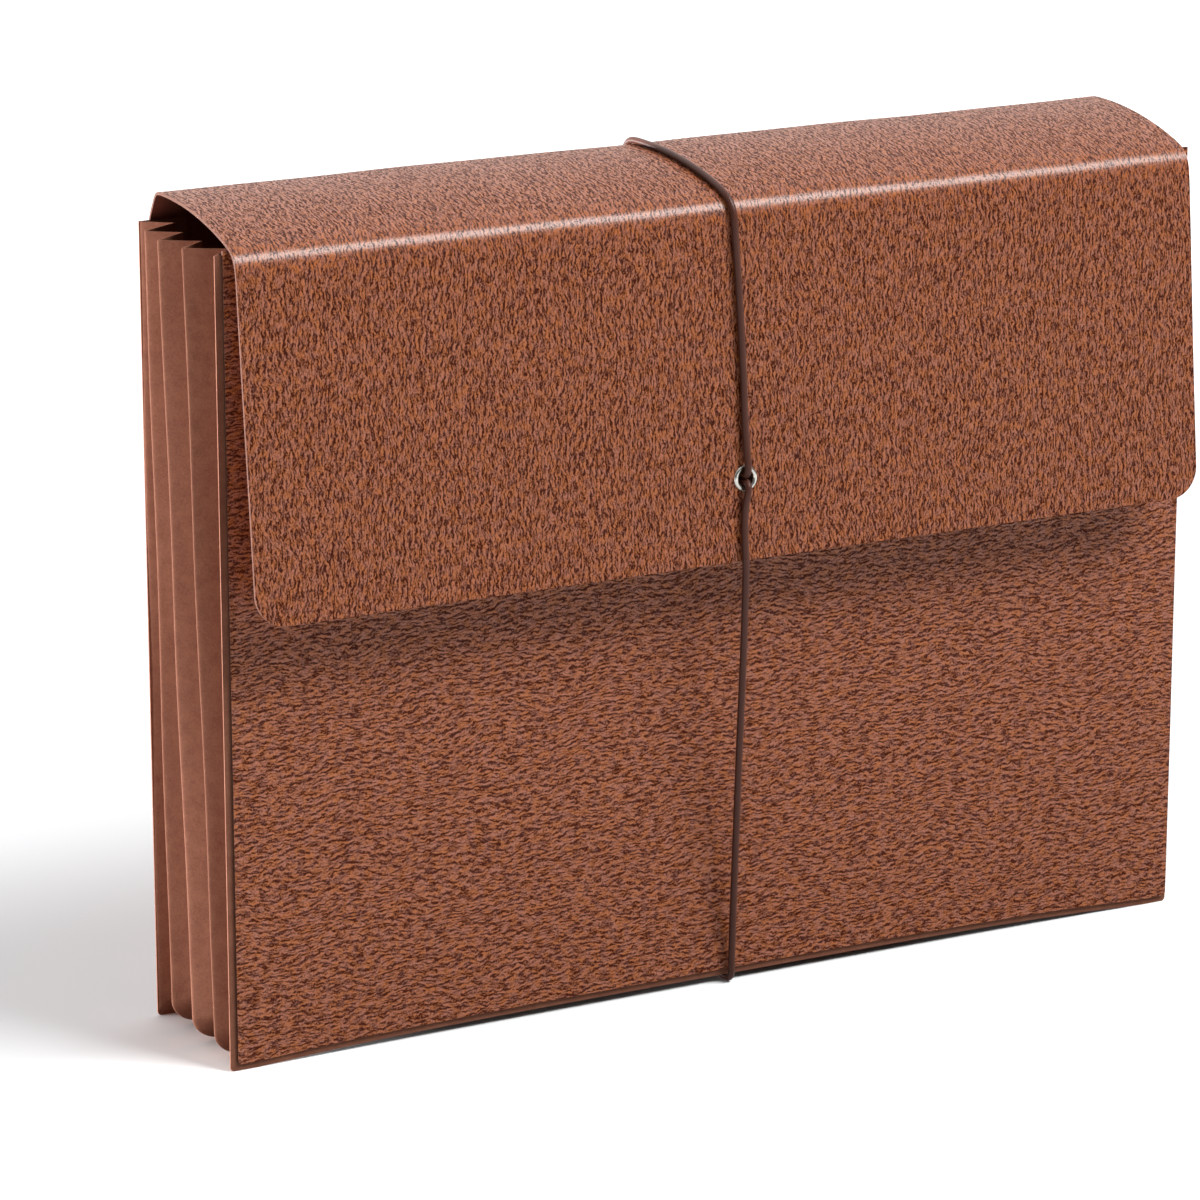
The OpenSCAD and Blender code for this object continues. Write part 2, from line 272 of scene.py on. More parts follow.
def grid_quads(
    rows: int, columns: int, wrap_rows: bool = False, wrap_columns: bool = False
) -> NDArray[np.int64]:
    """Number the quads of a grid of points, row by row.

    Args:
        rows: points along the first parameter.
        columns: points along the second parameter.
        wrap_rows: whether the last row joins the first.
        wrap_columns: whether the last column joins the first.

    Returns:
        Four point numbers for each quad.
    """
    row, column = np.meshgrid(
        np.arange(rows if wrap_rows else rows - 1),
        np.arange(columns if wrap_columns else columns - 1),
        indexing="ij",
    )
    next_row = (row + 1) % rows
    next_column = (column + 1) % columns
    corners = (
        row * columns + column,
        row * columns + next_column,
        next_row * columns + next_column,
        next_row * columns + column,
    )
    return np.stack([corner.ravel() for corner in corners], axis=1)


def tube_faces(rings: int, sides: int) -> list[list[int]]:
    """List the faces of a closed tube.

    Args:
        rings: rings along the tube.
        sides: points in a ring.

    Returns:
        The quads between the rings, and one face at each end.
    """
    last = (rings - 1) * sides
    ends = [list(range(sides - 1, -1, -1)), list(range(last, last + sides))]
    return grid_quads(rings, sides, wrap_columns=True).tolist() + ends


def mesh_object(
    name: str,
    points: Array,
    faces: list[list[int]],
    materials: list[Material],
    face_slots: NDArray[np.int64] | None = None,
    pattern: Array | None = None,
) -> Piece:
    """Put points and faces into a mesh object at the origin.

    Args:
        name: the piece's name.
        points: one point per row.
        faces: point numbers of each face, outward side anticlockwise.
        materials: the piece's material slots.
        face_slots: each face's slot, or none for the first slot all over.
        pattern: pattern coordinates of each point, or none.

    Returns:
        The linked object, with crisp edges where faces meet at a wide angle.
    """
    mesh = bpy.data.meshes.new(name)
    mesh.from_pydata(points.tolist(), [], faces)
    for material in materials:
        mesh.materials.append(material)
    if face_slots is not None:
        mesh.polygons.foreach_set("material_index", face_slots.astype(np.int32))
    if pattern is not None:
        corners = np.zeros(len(mesh.loops), np.int32)
        mesh.loops.foreach_get("vertex_index", corners)
        layer = mesh.uv_layers.new(name=PATTERN)
        layer.data.foreach_set("uv", pattern[corners].astype(np.float32).ravel())
    mesh.polygons.foreach_set("use_smooth", np.ones(len(faces), bool))
    mesh.set_sharp_from_angle(angle=CRISP_EDGE)
    mesh.update()
    return link_object(name, mesh)


def sheet_object(
    name: str, outer: Array, inner: Array, pattern: Array, materials: list[Material]
) -> Piece:
    """Close a sheet between two grids of points of the same size.

    The outer grid, the inner grid and a strip of quads round their shared border make one
    closed skin. Which way round the grid runs is found from the side that the inner grid is on.

    Args:
        name: the piece's name.
        outer: points of the outer face, rows by columns by three.
        inner: points of the inner face, in the same order.
        pattern: pattern coordinates, rows by columns by two.
        materials: slots for the outer face, the inner face and the cut edge.

    Returns:
        The piece.
    """
    rows, columns = outer.shape[:2]
    count = rows * columns
    quads = grid_quads(rows, columns)
    numbers = np.arange(count).reshape(rows, columns)
    border = np.concatenate(
        [numbers[0, :-1], numbers[:-1, -1], numbers[-1, :0:-1], numbers[:0:-1, 0]]
    )
    following = np.roll(border, -1)
    edge = np.stack([following, border, border + count, following + count], axis=1)
    faces = np.concatenate([quads, quads[:, ::-1] + count, edge])
    across_row = outer[1, 1] - outer[0, 1]
    along_row = outer[0, 2] - outer[0, 1]
    if np.dot(np.cross(along_row, across_row), outer[0, 1] - inner[0, 1]) < 0:
        faces = faces[:, ::-1]
    slots = np.repeat([side.value for side in Side], [len(quads), len(quads), len(edge)])
    points = np.concatenate([outer.reshape(-1, 3), inner.reshape(-1, 3)])
    both = np.concatenate([pattern.reshape(-1, 2)] * 2)
    return mesh_object(name, points, faces.tolist(), materials, slots, both)


def mark_folds(piece: Piece, nearness: Array) -> None:
    """Store how near a fold each point of a sheet is, the same on its two faces.

    Args:
        piece: the sheet.
        nearness: one number for each point of its grid, one at a fold and less away from it.
    """
    attribute = piece.data.attributes.new(FOLD_NEARNESS, "FLOAT", "POINT")
    both = np.concatenate([nearness.ravel()] * 2)
    attribute.data.foreach_set("value", both.astype(np.float32))


def tube_object(
    name: str, path: Array, radius: float, sides: int, material: Material, reference: Array
) -> Piece:
    """Carry a circle along a path and close both ends.

    Each ring is the path's point plus the radius times the cosine of the turn along one
    direction square to the path, and the sine along the other. The first direction is the
    reference with its part along the path taken away.

    Args:
        name: the piece's name.
        path: points of the centre line.
        radius: the tube's radius.
        sides: points in a ring.
        material: the tube's finish.
        reference: a direction that the path never takes.

    Returns:
        The piece, with the length along it and the share of a turn as pattern coordinates.
    """
    along = unit(np.gradient(path, axis=0))
    across = unit(reference - along * (along @ reference)[:, None])
    third = np.cross(along, across)
    turn = full_turn(sides)
    ring = np.cos(turn)[None, :, None] * across[:, None] + np.sin(turn)[None, :, None] * third[:, None]
    points = path[:, None] + radius * ring
    round_it = np.abs(turn / math.pi - 1)
    pattern = np.stack(np.broadcast_arrays(length_along(path)[:, None], round_it[None]), axis=-1)
    faces = tube_faces(len(path), sides)
    return mesh_object(name, points.reshape(-1, 3), faces, [material], pattern=pattern.reshape(-1, 2))


def smooth_route(points: Array, step: float) -> Array:
    """Draw a smooth curve through a route's points.

    Between two points the curve is the cubic that has their places and slopes. A point's slope
    is the mean of its two chords' directions, weighted to the shorter chord.

    Args:
        points: the route's points.
        step: rough distance between points of the curve.

    Returns:
        Points of the curve.
    """
    spans = np.linalg.norm(np.diff(points, axis=0), axis=1)
    heading = np.diff(points, axis=0) / spans[:, None]
    before, after = spans[:-1, None], spans[1:, None]
    middle = (heading[:-1] * after + heading[1:] * before) / (before + after)
    slopes = np.concatenate([heading[:1], middle, heading[-1:]])
    counts = np.maximum(np.ceil(spans / step).astype(int), 2)
    piece = np.repeat(np.arange(len(spans)), counts)
    first = np.concatenate([[0], np.cumsum(counts)[:-1]])
    share = ((np.arange(len(piece)) - first[piece]) / counts[piece])[:, None]
    span = spans[piece, None]
    curve = (
        (2 * share**3 - 3 * share**2 + 1) * points[piece]
        + (share**3 - 2 * share**2 + share) * span * slopes[piece]
        + (3 * share**2 - 2 * share**3) * points[piece + 1]
        + (share**3 - share**2) * span * slopes[piece + 1]
    )
    return np.concatenate([curve, points[-1:]])


def stretched_noise(tree: Tree, plane: Socket, size: Span, offset: float = 0.0) -> Socket:
    """Lay plain noise on a plane.

    Args:
        tree: node tree that gets the nodes.
        plane: the plane in millimetres.
        size: size of the noise across the grain and along it, in millimetres.
        offset: place in the noise that it starts from.

    Returns:
        The noise.
    """
    across, along = size
    stretched = add_node(
        tree, "Mapping",
        {"Vector": plane, "Scale": (1 / across, 1 / along, 1), "Location": (offset, 0, 0)},
    )
    return add_node(
        tree, "TexNoise", {"Vector": stretched, "Scale": 1.0, "Detail": 0.0}, noise_dimensions="2D"
    )


@dataclass(frozen=True)
class CrestNet:
    """One size of the grain's net of crest lines, with its spacings in millimetres."""

    across: float
    along: float
    share: float


@dataclass(frozen=True)
class GrainedBoard:
    """Pressed board with a printed and embossed leather grain, under a satin varnish.

    The print and the emboss share one net of crest lines round long dark cells: the crests are
    orange-brown and catch the light, the cells between them are dark brown and speckled, and each
    crest carries painted shading, lighter on one side and darker on the other.
    """

    name: str
    nets: tuple[CrestNet, ...] = (CrestNet(0.95, 2.7, 0.52), CrestNet(0.55, 1.3, 0.4))
    # Distance between two nets' places in the noise, and the noise between which a crest rises
    net_offset: float = 9.0
    crest_rise: Span = (0.34, 0.62)
    # How far the lines wander, over long and short stretches, and the length of each, in millimetres
    sway: float = 1.6
    sway_length: float = 26.0
    flutter: float = 0.5
    flutter_length: float = 2.0
    # Size of the specks and of the broad streaks, across the grain and along it, in millimetres
    speck: Span = (0.4, 0.55)
    streak: Span = (3.0, 10.0)
    # Share of the specks, the streaks, the painted shading of the crests' sides, and the wear and
    # painted highlight near a fold in the tone, and the tones that print darkest and palest
    speck_share: float = 1.35
    streak_share: float = 0.35
    painted_shading_share: float = 0.6
    wear_and_highlight_share: float = 0.15
    tone_range: Span = (-0.1, 1.2)
    # Size of the patches of warmer print in millimetres, and the noise between which they turn warm
    patch: float = 2.6
    warm_range: Span = (0.35, 0.65)
    # Depth of the emboss, and the offset that sets which side of each crest gets painted shade, in
    # millimetres
    relief: float = 0.03
    painted_shading_side: Point = (0.35, 0.1, 0.0)
    # Print on the crests and in the cells, each in its cooler and its warmer shade
    crest: str = "925841"
    ember: str = "96542B"
    ash: str = "38150C"
    cell: str = "360F04"
    # Roughness and specular level from the cells to the crests, how far a fold moves them toward
    # the crests, and the share of the emboss that a fold leaves
    gloss: Span = (0.5, 0.32)
    varnish: Span = (0.06, 0.32)
    fold_seal: float = 0.6
    fold_relief: float = 0.35
    # Place on the stock that the board is cut from, in millimetres
    start: float = 0.0

    def bent_plane(self, tree: Tree, metric: Socket) -> Socket:
        """Bend the pattern's plane by two sizes of noise.

        Args:
            tree: node tree that gets the nodes.
            metric: the plane in millimetres.

        Returns:
            The plane with the long sway and the short flutter added.
        """
        plane = metric
        for reach, length in ((self.sway, self.sway_length), (self.flutter, self.flutter_length)):
            noise = add_node(
                tree, "TexNoise", {"Vector": metric, "Scale": 1 / length, "Detail": 1.0}, 1,
                noise_dimensions="2D",
            )
            centred = add_node(tree, "VectorMath", {0: noise, 1: (NOISE_MIDDLE,) * 3}, operation="SUBTRACT")
            shift = add_node(tree, "VectorMath", {0: centred, "Scale": 2 * reach}, operation="SCALE")
            plane = add_node(tree, "VectorMath", {0: plane, 1: shift}, operation="ADD")
        return plane

    def crest_lines(self, tree: Tree, plane: Socket) -> Socket:
        """Draw the nets: the high side of stretched noise, one net added to the other.

        Args:
            tree: node tree that gets the nodes.
            plane: the bent plane in millimetres.

        Returns:
            The sum of the nets, from zero in the cells to about one on the crests.
        """
        total: Socket | float = 0.0
        foot, top = self.crest_rise
        for number, net in enumerate(self.nets):
            noise = stretched_noise(tree, plane, (net.across, net.along), self.net_offset * number)
            line = add_node(
                tree, "MapRange", {"Value": noise, "From Min": foot, "From Max": top, "To Max": net.share},
                interpolation_type="SMOOTHSTEP",
            )
            total = add_node(tree, "Math", {0: line, 1: total}, operation="ADD")
        return total

    def dust(self, tree: Tree, plane: Socket, net: Socket) -> Socket:
        """Add the fine specks and the broad streaks to the net.

        Args:
            tree: node tree that gets the nodes.
            plane: the bent plane in millimetres.
            net: the net of crest lines.

        Returns:
            The net plus each noise, taken from its middle and times its share.
        """
        for size, share in ((self.speck, self.speck_share), (self.streak, self.streak_share)):
            noise = stretched_noise(tree, plane, size)
            centred = add_node(tree, "Math", {0: noise, 1: NOISE_MIDDLE}, operation="SUBTRACT")
            net = add_node(tree, "Math", {0: centred, 1: share, 2: net}, operation="MULTIPLY_ADD")
        return net

    def material(self) -> Material:
        """Build the board's finish.

        The tone is the net of crest lines, plus fine specks and broad streaks, plus the difference
        between the net and itself moved a little, which paints light on one side of each crest and shade
        on the other, as light falling on the emboss would. Near a fold the tone is lifted paler, partly as
        wear and partly as a painted highlight, the varnish is whole and the emboss is pressed flat.

        Returns:
            The material.
        """
        material, tree, shader = new_material(self.name, {})
        place = add_node(tree, "UVMap", uv_map=PATTERN)
        metric = add_node(
            tree, "Mapping",
            {"Vector": place, "Scale": (1 / MM, 1 / MM, 1), "Location": (self.start, 0, 0)},
        )
        plane = self.bent_plane(tree, metric)
        # Painted shading: the net less itself moved aside lights one side of each crest and shades the
        # other
        beside = add_node(tree, "VectorMath", {0: plane, 1: self.painted_shading_side}, operation="ADD")
        net = self.crest_lines(tree, plane)
        moved = self.crest_lines(tree, beside)
        painted_shading = add_node(tree, "Math", {0: net, 1: moved}, operation="SUBTRACT")
        dusted = self.dust(tree, plane, net)
        tone = add_node(
            tree, "Math", {0: painted_shading, 1: self.painted_shading_share, 2: dusted}, operation="MULTIPLY_ADD"
        )
        nearness = add_node(tree, "Attribute", output="Fac", attribute_name=FOLD_NEARNESS)
        # Wear and a painted highlight: the tone is lifted near the crease
        worn_and_highlight = add_node(
            tree, "Math", {0: nearness, 1: self.wear_and_highlight_share, 2: tone}, operation="MULTIPLY_ADD"
        )
        dark, pale = self.tone_range
        print_tone = add_node(tree, "MapRange", {"Value": worn_and_highlight, "From Min": dark, "From Max": pale})
        drift = add_node(
            tree, "TexNoise", {"Vector": metric, "Scale": 1 / self.patch, "Detail": 2.0},
            noise_dimensions="2D",
        )
        cool, warm = self.warm_range
        warmth = add_node(tree, "MapRange", {"Value": drift, "From Min": cool, "From Max": warm})
        cells, crests = (
            add_node(
                tree, "Mix", {0: warmth, MIX_A: linear(cooler), MIX_B: linear(warmer)}, MIX_RESULT,
                data_type="RGBA",
            )
            for cooler, warmer in ((self.ash, self.cell), (self.crest, self.ember))
        )
        colour = add_node(
            tree, "Mix", {0: print_tone, MIX_A: cells, MIX_B: crests}, MIX_RESULT, data_type="RGBA"
        )
        sealed = add_node(
            tree, "Math", {0: nearness, 1: self.fold_seal, 2: print_tone}, operation="MULTIPLY_ADD"
        )
        gloss, varnish = (
            add_node(tree, "MapRange", {"Value": sealed, "To Min": in_cells, "To Max": on_crests})
            for in_cells, on_crests in (self.gloss, self.varnish)
        )
        pressed = add_node(
            tree, "MapRange", {"Value": nearness, "To Min": 1.0, "To Max": self.fold_relief}
        )
        emboss = add_node(tree, "Math", {0: dusted, 1: pressed}, operation="MULTIPLY")
        relief = add_node(
            tree, "Bump", {"Height": emboss, "Strength": 1.0, "Distance": self.relief * MM}
        )
        feed(tree, shader, {"Base Color": colour, "Roughness": gloss})
        feed(tree, shader, {"Specular IOR Level": varnish, "Normal": relief})
        return material


@dataclass(frozen=True)
class PlainPaper:
    """Uncoated, dyed paper: matt, faintly mottled by its fibres, and paler along creases, as wear and a
    painted highlight.
    """

    name: str
    body: str = "633929"
    worn_and_highlight: str = "966850"
    roughness: float = 0.86
    specular: float = 0.25
    # Size of the fibre clouds, and size and depth of the tooth, in millimetres
    cloud: float = 4.0
    tooth: float = 0.5
    relief: float = 0.05
    relief_strength: float = 0.35
    # Share of the tooth in the mottle, the mottle between which the paper pales, and how far it does
    tooth_share: float = 0.5
    mottle_range: Span = (0.5, 1.0)
    mottle_pale: float = 0.32
    # Width of the pale line along a fold, which is wear and a painted highlight, in shares of a leaf,
    # how far it pales, and how it frays
    crease: float = 0.04
    crease_pale: float = 0.26
    fray: float = 0.02

    def material(self) -> Material:
        """Build the paper's finish.

        Two sizes of noise mottle the colour, and the piece's nearness to an outer fold lightens it, as wear
        and a painted highlight.

        Returns:
            The material.
        """
        material, tree, shader = new_material(
            self.name, {"Roughness": self.roughness, "Specular IOR Level": self.specular}
        )
        place = add_node(tree, "TexCoord", output="Object")
        fibres = add_node(
            tree, "TexNoise",
            {"Vector": place, "Scale": 1 / (self.cloud * MM), "Detail": 5.0, "Roughness": 0.7},
        )
        grit = add_node(
            tree, "TexNoise", {"Vector": place, "Scale": 1 / (self.tooth * MM), "Detail": 2.0}
        )
        mottle = add_node(
            tree, "Math", {0: grit, 1: self.tooth_share, 2: fibres}, operation="MULTIPLY_ADD"
        )
        low, high = self.mottle_range
        shade = add_node(
            tree, "MapRange",
            {"Value": mottle, "From Min": low, "From Max": high, "To Max": self.mottle_pale},
        )
        nearness = add_node(tree, "Attribute", output="Fac", attribute_name=FOLD_NEARNESS)
        # Wear and a painted highlight: a pale line along each outer fold, frayed by the fibres
        frayed = add_node(
            tree, "Math", {0: fibres, 1: self.fray, 2: nearness}, operation="MULTIPLY_ADD"
        )
        at_fold = 1 + self.fray / 2
        line = add_node(
            tree, "MapRange",
            {
                "Value": frayed, "From Min": at_fold - self.crease, "From Max": at_fold,
                "To Max": self.crease_pale,
            },
            interpolation_type="SMOOTHSTEP",
        )
        pale = add_node(tree, "Math", {0: shade, 1: line}, operation="MAXIMUM")
        colour = add_node(
            tree, "Mix", {0: pale, MIX_A: linear(self.body), MIX_B: linear(self.worn_and_highlight)}, MIX_RESULT,
            data_type="RGBA",
        )
        relief = add_node(
            tree, "Bump",
            {"Height": grit, "Strength": self.relief_strength, "Distance": self.relief * MM},
        )
        feed(tree, shader, {"Base Color": colour, "Normal": relief})
        return material


@dataclass(frozen=True)
class NickelPlate:
    """Nickel on stamped brass: bright and slightly warm, with fine handling marks."""

    name: str = "nickel_plated_brass_stamped"
    bright: str = "DAD7CF"
    dull: str = "B4B0A6"
    # Size and depth of the marks, in millimetres
    mark: float = 0.4
    relief: float = 0.02
    relief_strength: float = 0.15
    # Roughness between the marks and in them
    gloss: Span = (0.16, 0.34)

    def material(self) -> Material:
        """Build the plating's finish: fine noise varies its tone and its roughness.

        Returns:
            The material.
        """
        material, tree, shader = new_material(self.name, {"Metallic": 1.0})
        place = add_node(tree, "TexCoord", output="Object")
        marks = add_node(
            tree, "TexNoise", {"Vector": place, "Scale": 1 / (self.mark * MM), "Detail": 4.0}
        )
        colour = add_node(
            tree, "Mix", {0: marks, MIX_A: linear(self.bright), MIX_B: linear(self.dull)}, MIX_RESULT,
            data_type="RGBA",
        )
        smooth, rough = self.gloss
        gloss = add_node(tree, "MapRange", {"Value": marks, "To Min": smooth, "To Max": rough})
        relief = add_node(
            tree, "Bump",
            {"Height": marks, "Strength": self.relief_strength, "Distance": self.relief * MM},
        )
        feed(tree, shader, {"Base Color": colour, "Roughness": gloss, "Normal": relief})
        return material


@dataclass(frozen=True)
class BraidedElastic:
    """Rubber core in a fine braided sleeve: dark brown, with a soft sheen along its yarns."""

    name: str = "elastic_rayon_braided"
    yarn: str = "5B2F21"
    gap: str = "2A140C"
    roughness: float = 0.38
    specular: float = 0.25
    # Length of one stitch along the cord and depth of the plait in millimetres, and stitches round it
    stitch: float = 0.9
    relief: float = 0.04
    relief_strength: float = 0.4
    round_count: float = 4.0

    def material(self) -> Material:
        """Build the sleeve's finish.

        The product of two sine waves that climb the cord in opposite turns gives the plait.

        Returns:
            The material.
        """
        material, tree, shader = new_material(
            self.name, {"Roughness": self.roughness, "Specular IOR Level": self.specular}
        )
        place = add_node(tree, "UVMap", uv_map=PATTERN)
        rates = (math.pi / (self.stitch * MM), math.pi * self.round_count)
        run, around = (
            add_node(
                tree, "Math", {0: add_node(tree, "SeparateXYZ", {0: place}, axis), 1: rate},
                operation="MULTIPLY",
            )
            for axis, rate in enumerate(rates)
        )
        waves = [
            add_node(
                tree, "Math", {0: add_node(tree, "Math", {0: run, 1: around}, operation=way)},
                operation="SINE",
            )
            for way in ("ADD", "SUBTRACT")
        ]
        plait = add_node(tree, "Math", {0: waves[0], 1: waves[1]}, operation="MULTIPLY")
        height = add_node(tree, "Math", {0: plait}, operation="ABSOLUTE")
        colour = add_node(
            tree, "Mix", {0: height, MIX_A: linear(self.gap), MIX_B: linear(self.yarn)}, MIX_RESULT,
            data_type="RGBA",
        )
        relief = add_node(
            tree, "Bump",
            {"Height": height, "Strength": self.relief_strength, "Distance": self.relief * MM},
        )
        feed(tree, shader, {"Base Color": colour, "Normal": relief})
        return material


@dataclass(frozen=True)
class Finishes:
    """Every material of the wallet, made once."""

    lengthwise: Material
    crosswise: Material
    board_back: Material
    board_edge: Material
    paper: Material
    nickel: Material
    elastic: Material

    @classmethod
    def make(cls) -> "Finishes":
        """Build the finishes of the boards, the paper, the metal and the elastic.

        Returns:
            The finishes.
        """
        return cls(
            lengthwise=GrainedBoard("pressboard_grained_lengthwise").material(),
            crosswise=GrainedBoard(
                "pressboard_grained_crosswise",
                nets=(CrestNet(1.0, 3.2, 0.56), CrestNet(0.6, 1.5, 0.38)),
                sway=2.4, painted_shading_side=(-0.4, 0.1, 0.0), start=411.0,
                crest="975E49", ember="9B5931", ash="421F17", cell="3E1508",
            ).material(),
            board_back=PlainPaper("pressboard_uncoated_back", body="5E2F22", worn_and_highlight="7A4433").material(),
            board_edge=PlainPaper("pressboard_cut_edge", body="47291E", worn_and_highlight="5C3B2D").material(),
            paper=PlainPaper("gusset_paper_dyed").material(),
            nickel=NickelPlate().material(),
            elastic=BraidedElastic().material(),
        )

    def board(self, run: GrainRun) -> list[Material]:
        """Give a board's slots: its grained face, its plain back and its cut edge."""
        face = self.lengthwise if run is GrainRun.UP_THE_SHEET else self.crosswise
        return [face, self.board_back, self.board_edge]


@dataclass(frozen=True)
class Ripple:
    """One slow wave of a sheet that isn't perfectly flat, with its height and two wavelengths."""

    height: float
    first: float
    second: float
    start: float = 0.0

    def rise(self, first: Array, second: Array) -> Array:
        """Give the height times the sine of a full turn for each wavelength gone both ways."""
        turns = first / self.first + second / self.second
        return self.height * np.sin(2 * math.pi * turns + self.start)


@dataclass(frozen=True)
class Outline:
    """Planes that several pieces share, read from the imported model."""

    half_w: float
    middle_y: float
    gusset_top: float
    gusset_half_d: float
    board_t: float
    # Flat stretches under the lower corners, and rise of the lower edges between them
    back_land: float = 20 * MM
    front_land: float = 8 * MM
    foot_bow: float = 2.2 * MM

    @classmethod
    def from_frame(cls) -> "Outline":
        """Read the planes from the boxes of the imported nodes.

        Returns:
            The outline.
        """
        front_low, front_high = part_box("front_cover")
        _, back_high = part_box("back_cover")
        strip_low, strip_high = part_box("gusset_back_strip")
        middle_y = (front_low.y + back_high.y) / 2
        return cls(
            half_w=strip_high.x,
            middle_y=middle_y,
            gusset_top=strip_high.z,
            gusset_half_d=strip_low.y - middle_y,
            board_t=front_high.y - front_low.y,
        )

    def bow(self, x: Array, land: float) -> Array:
        """Rise of a lower edge: a quartic between the two flat lands, and nothing outside."""
        return self.foot_bow * np.clip(1 - (x / (self.half_w - land)) ** 4, 0, None)

    def foot(self, x: Array, left: float, right: float, radius: float, land: float) -> Array:
        """Height of a board's lower edge over its own foot.

        Args:
            x: places across the board.
            left: the board's left edge.
            right: its right edge.
            radius: radius of its lower corners.
            land: length of the flat stretch under each corner.

        Returns:
            The bow, plus the rise of a quarter circle within a radius of either side.
        """
        inside = np.clip(np.minimum(x - left, right - x), 0, radius)
        corner = radius - np.sqrt(radius**2 - (radius - inside) ** 2)
        return self.bow(x, land) + corner


@dataclass
class CoverSheet:
    """The long sheet of grained board: back cover, back band, top and flap in one.

    It is built as three pieces that meet midway between its folds, so each of its three folds lies
    inside one piece.
    """

    outline: Outline
    finishes: Finishes
    # Softness of the bend above the gusset, of the back fold and of the crease, and how many times
    # that the window that rounds them reaches
    bend_softness: float = 1.2 * MM
    fold_softness: float = 1.6 * MM
    crease_softness: float = 3.8 * MM
    window_reach: int = 4
    # Reach of the pressed and worn stretch, with its painted highlight, on either side of the crease
    wear_and_highlight_reach: float = 5 * MM
    # Rise of the top, corner radii, radius of the eyelet's hole and ripples of the board
    top_bulge: float = 2.8 * MM
    flap_corner_r: float = 9 * MM
    back_corner_r: float = 4 * MM
    hole_r: float = 2.65 * MM
    ripples: tuple[Ripple, ...] = (
        Ripple(0.104 * MM, 113 * MM, 187 * MM, 0.4), Ripple(0.056 * MM, 47 * MM, -83 * MM, 1.9)
    )
    # Spacing of the mesh on flat stretches and at folds, and of the profile's samples
    coarse: float = 2.0 * MM
    fine: float = 0.4 * MM
    sample: float = 0.2 * MM
    # Steps of the top's arc, of the flap's corners and of the hole, the first of a corner's steps,
    # and how much the columns crowd toward the sides
    arc_steps: int = 200
    corner_steps: int = 24
    hole_sides: int = 48
    corner_first: float = 0.05 * MM
    crowding: float = 0.06
    # Reach of a bend, and of the fine mesh, on either side of a fold
    bend_reach: float = 5 * MM
    fine_reach: float = 15 * MM
    half_w: float = field(init=False)
    # The folds and the flap's end in the plane of Y and Z, and the flap's own directions
    bend: Array = field(init=False)
    fold: Array = field(init=False)
    crease: Array = field(init=False)
    flap_end: Array = field(init=False)
    flap_inward: Array = field(init=False)
    flap_up: Array = field(init=False)
    # The outer face's profile, its inward direction, the length along it, and the folds' places on it
    line: Array = field(init=False)
    inward: Array = field(init=False)
    run: Array = field(init=False)
    at_bend: float = field(init=False)
    at_fold: float = field(init=False)
    at_crease: float = field(init=False)

    def __post_init__(self) -> None:
        """Read the folds from the frame and draw the sheet's profile through them."""
        self.bend = joint_point("band_bend")
        self.fold = joint_point("flap_fold")
        self.crease = joint_point("flap_crease")
        low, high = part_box("flap")
        self.half_w = high.x
        slant = unit(np.array([low.y, low.z]) - self.crease)
        self.flap_end = np.array([low.y, low.z - self.outline.board_t * slant[0]])
        hang = unit(self.flap_end - self.crease)
        self.flap_inward = np.array([0, -hang[1], hang[0]])
        self.flap_up = np.array([0, -hang[0], -hang[1]])
        self.draw_profile()

    def draw_profile(self) -> None:
        """Draw the outer face's profile in the plane of Y and Z.

        Straight stretches and the top's arc are laid end to end, sampled evenly, and averaged
        with a bell-shaped window, which leaves them as they are and rounds each fold. The
        window's width changes evenly from one fold's softness to the next one's.
        """
        foot = np.array([self.bend[0], 0.0])
        chord = self.crease - self.fold
        length = np.linalg.norm(chord)
        radius = (length**2 / 4 + self.top_bulge**2) / (2 * self.top_bulge)
        across = np.array([-chord[1], chord[0]]) / length
        centre = (self.fold + self.crease) / 2 + across * (radius - self.top_bulge)
        swing = np.linspace(-1, 1, self.arc_steps) * math.asin(length / (2 * radius))
        arc = centre - radius * (np.cos(swing)[:, None] * across - np.sin(swing)[:, None] * chord / length)
        corners = np.concatenate([[foot, self.bend], arc, [self.flap_end]])
        measured = length_along(corners)
        self.at_bend, self.at_fold = measured[1:3]
        self.at_crease = measured[-2]
        self.run = np.arange(0, measured[-1], self.sample)
        self.run[-1] = measured[-1]
        sharp = np.stack([np.interp(self.run, measured, corners[:, i]) for i in (0, 1)], axis=1)
        reach = int(self.window_reach * self.crease_softness / self.sample)
        padded = np.concatenate(
            [2 * sharp[0] - sharp[reach:0:-1], sharp, 2 * sharp[-1] - sharp[-2:-reach - 2:-1]]
        )
        places = np.arange(-reach, len(sharp) + reach) * self.sample
        softness = np.interp(
            self.run,
            [self.at_bend, self.at_fold, self.at_crease],
            [self.bend_softness, self.fold_softness, self.crease_softness],
        )
        here = np.arange(len(sharp)) * self.sample
        window = np.exp(-0.5 * ((places[None] - here[:, None]) / softness[:, None]) ** 2)
        self.line = window @ padded / window.sum(axis=1, keepdims=True)
        heading = unit(np.gradient(self.line, axis=0))
        self.inward = np.stack([-heading[:, 1], heading[:, 0]], axis=1)

    def at(self, run: Any, values: Array) -> Array:
        """Read the profile's line, or its inward direction, at distances along it."""
        return np.stack([np.interp(run, self.run, values[:, i]) for i in (0, 1)], axis=-1)

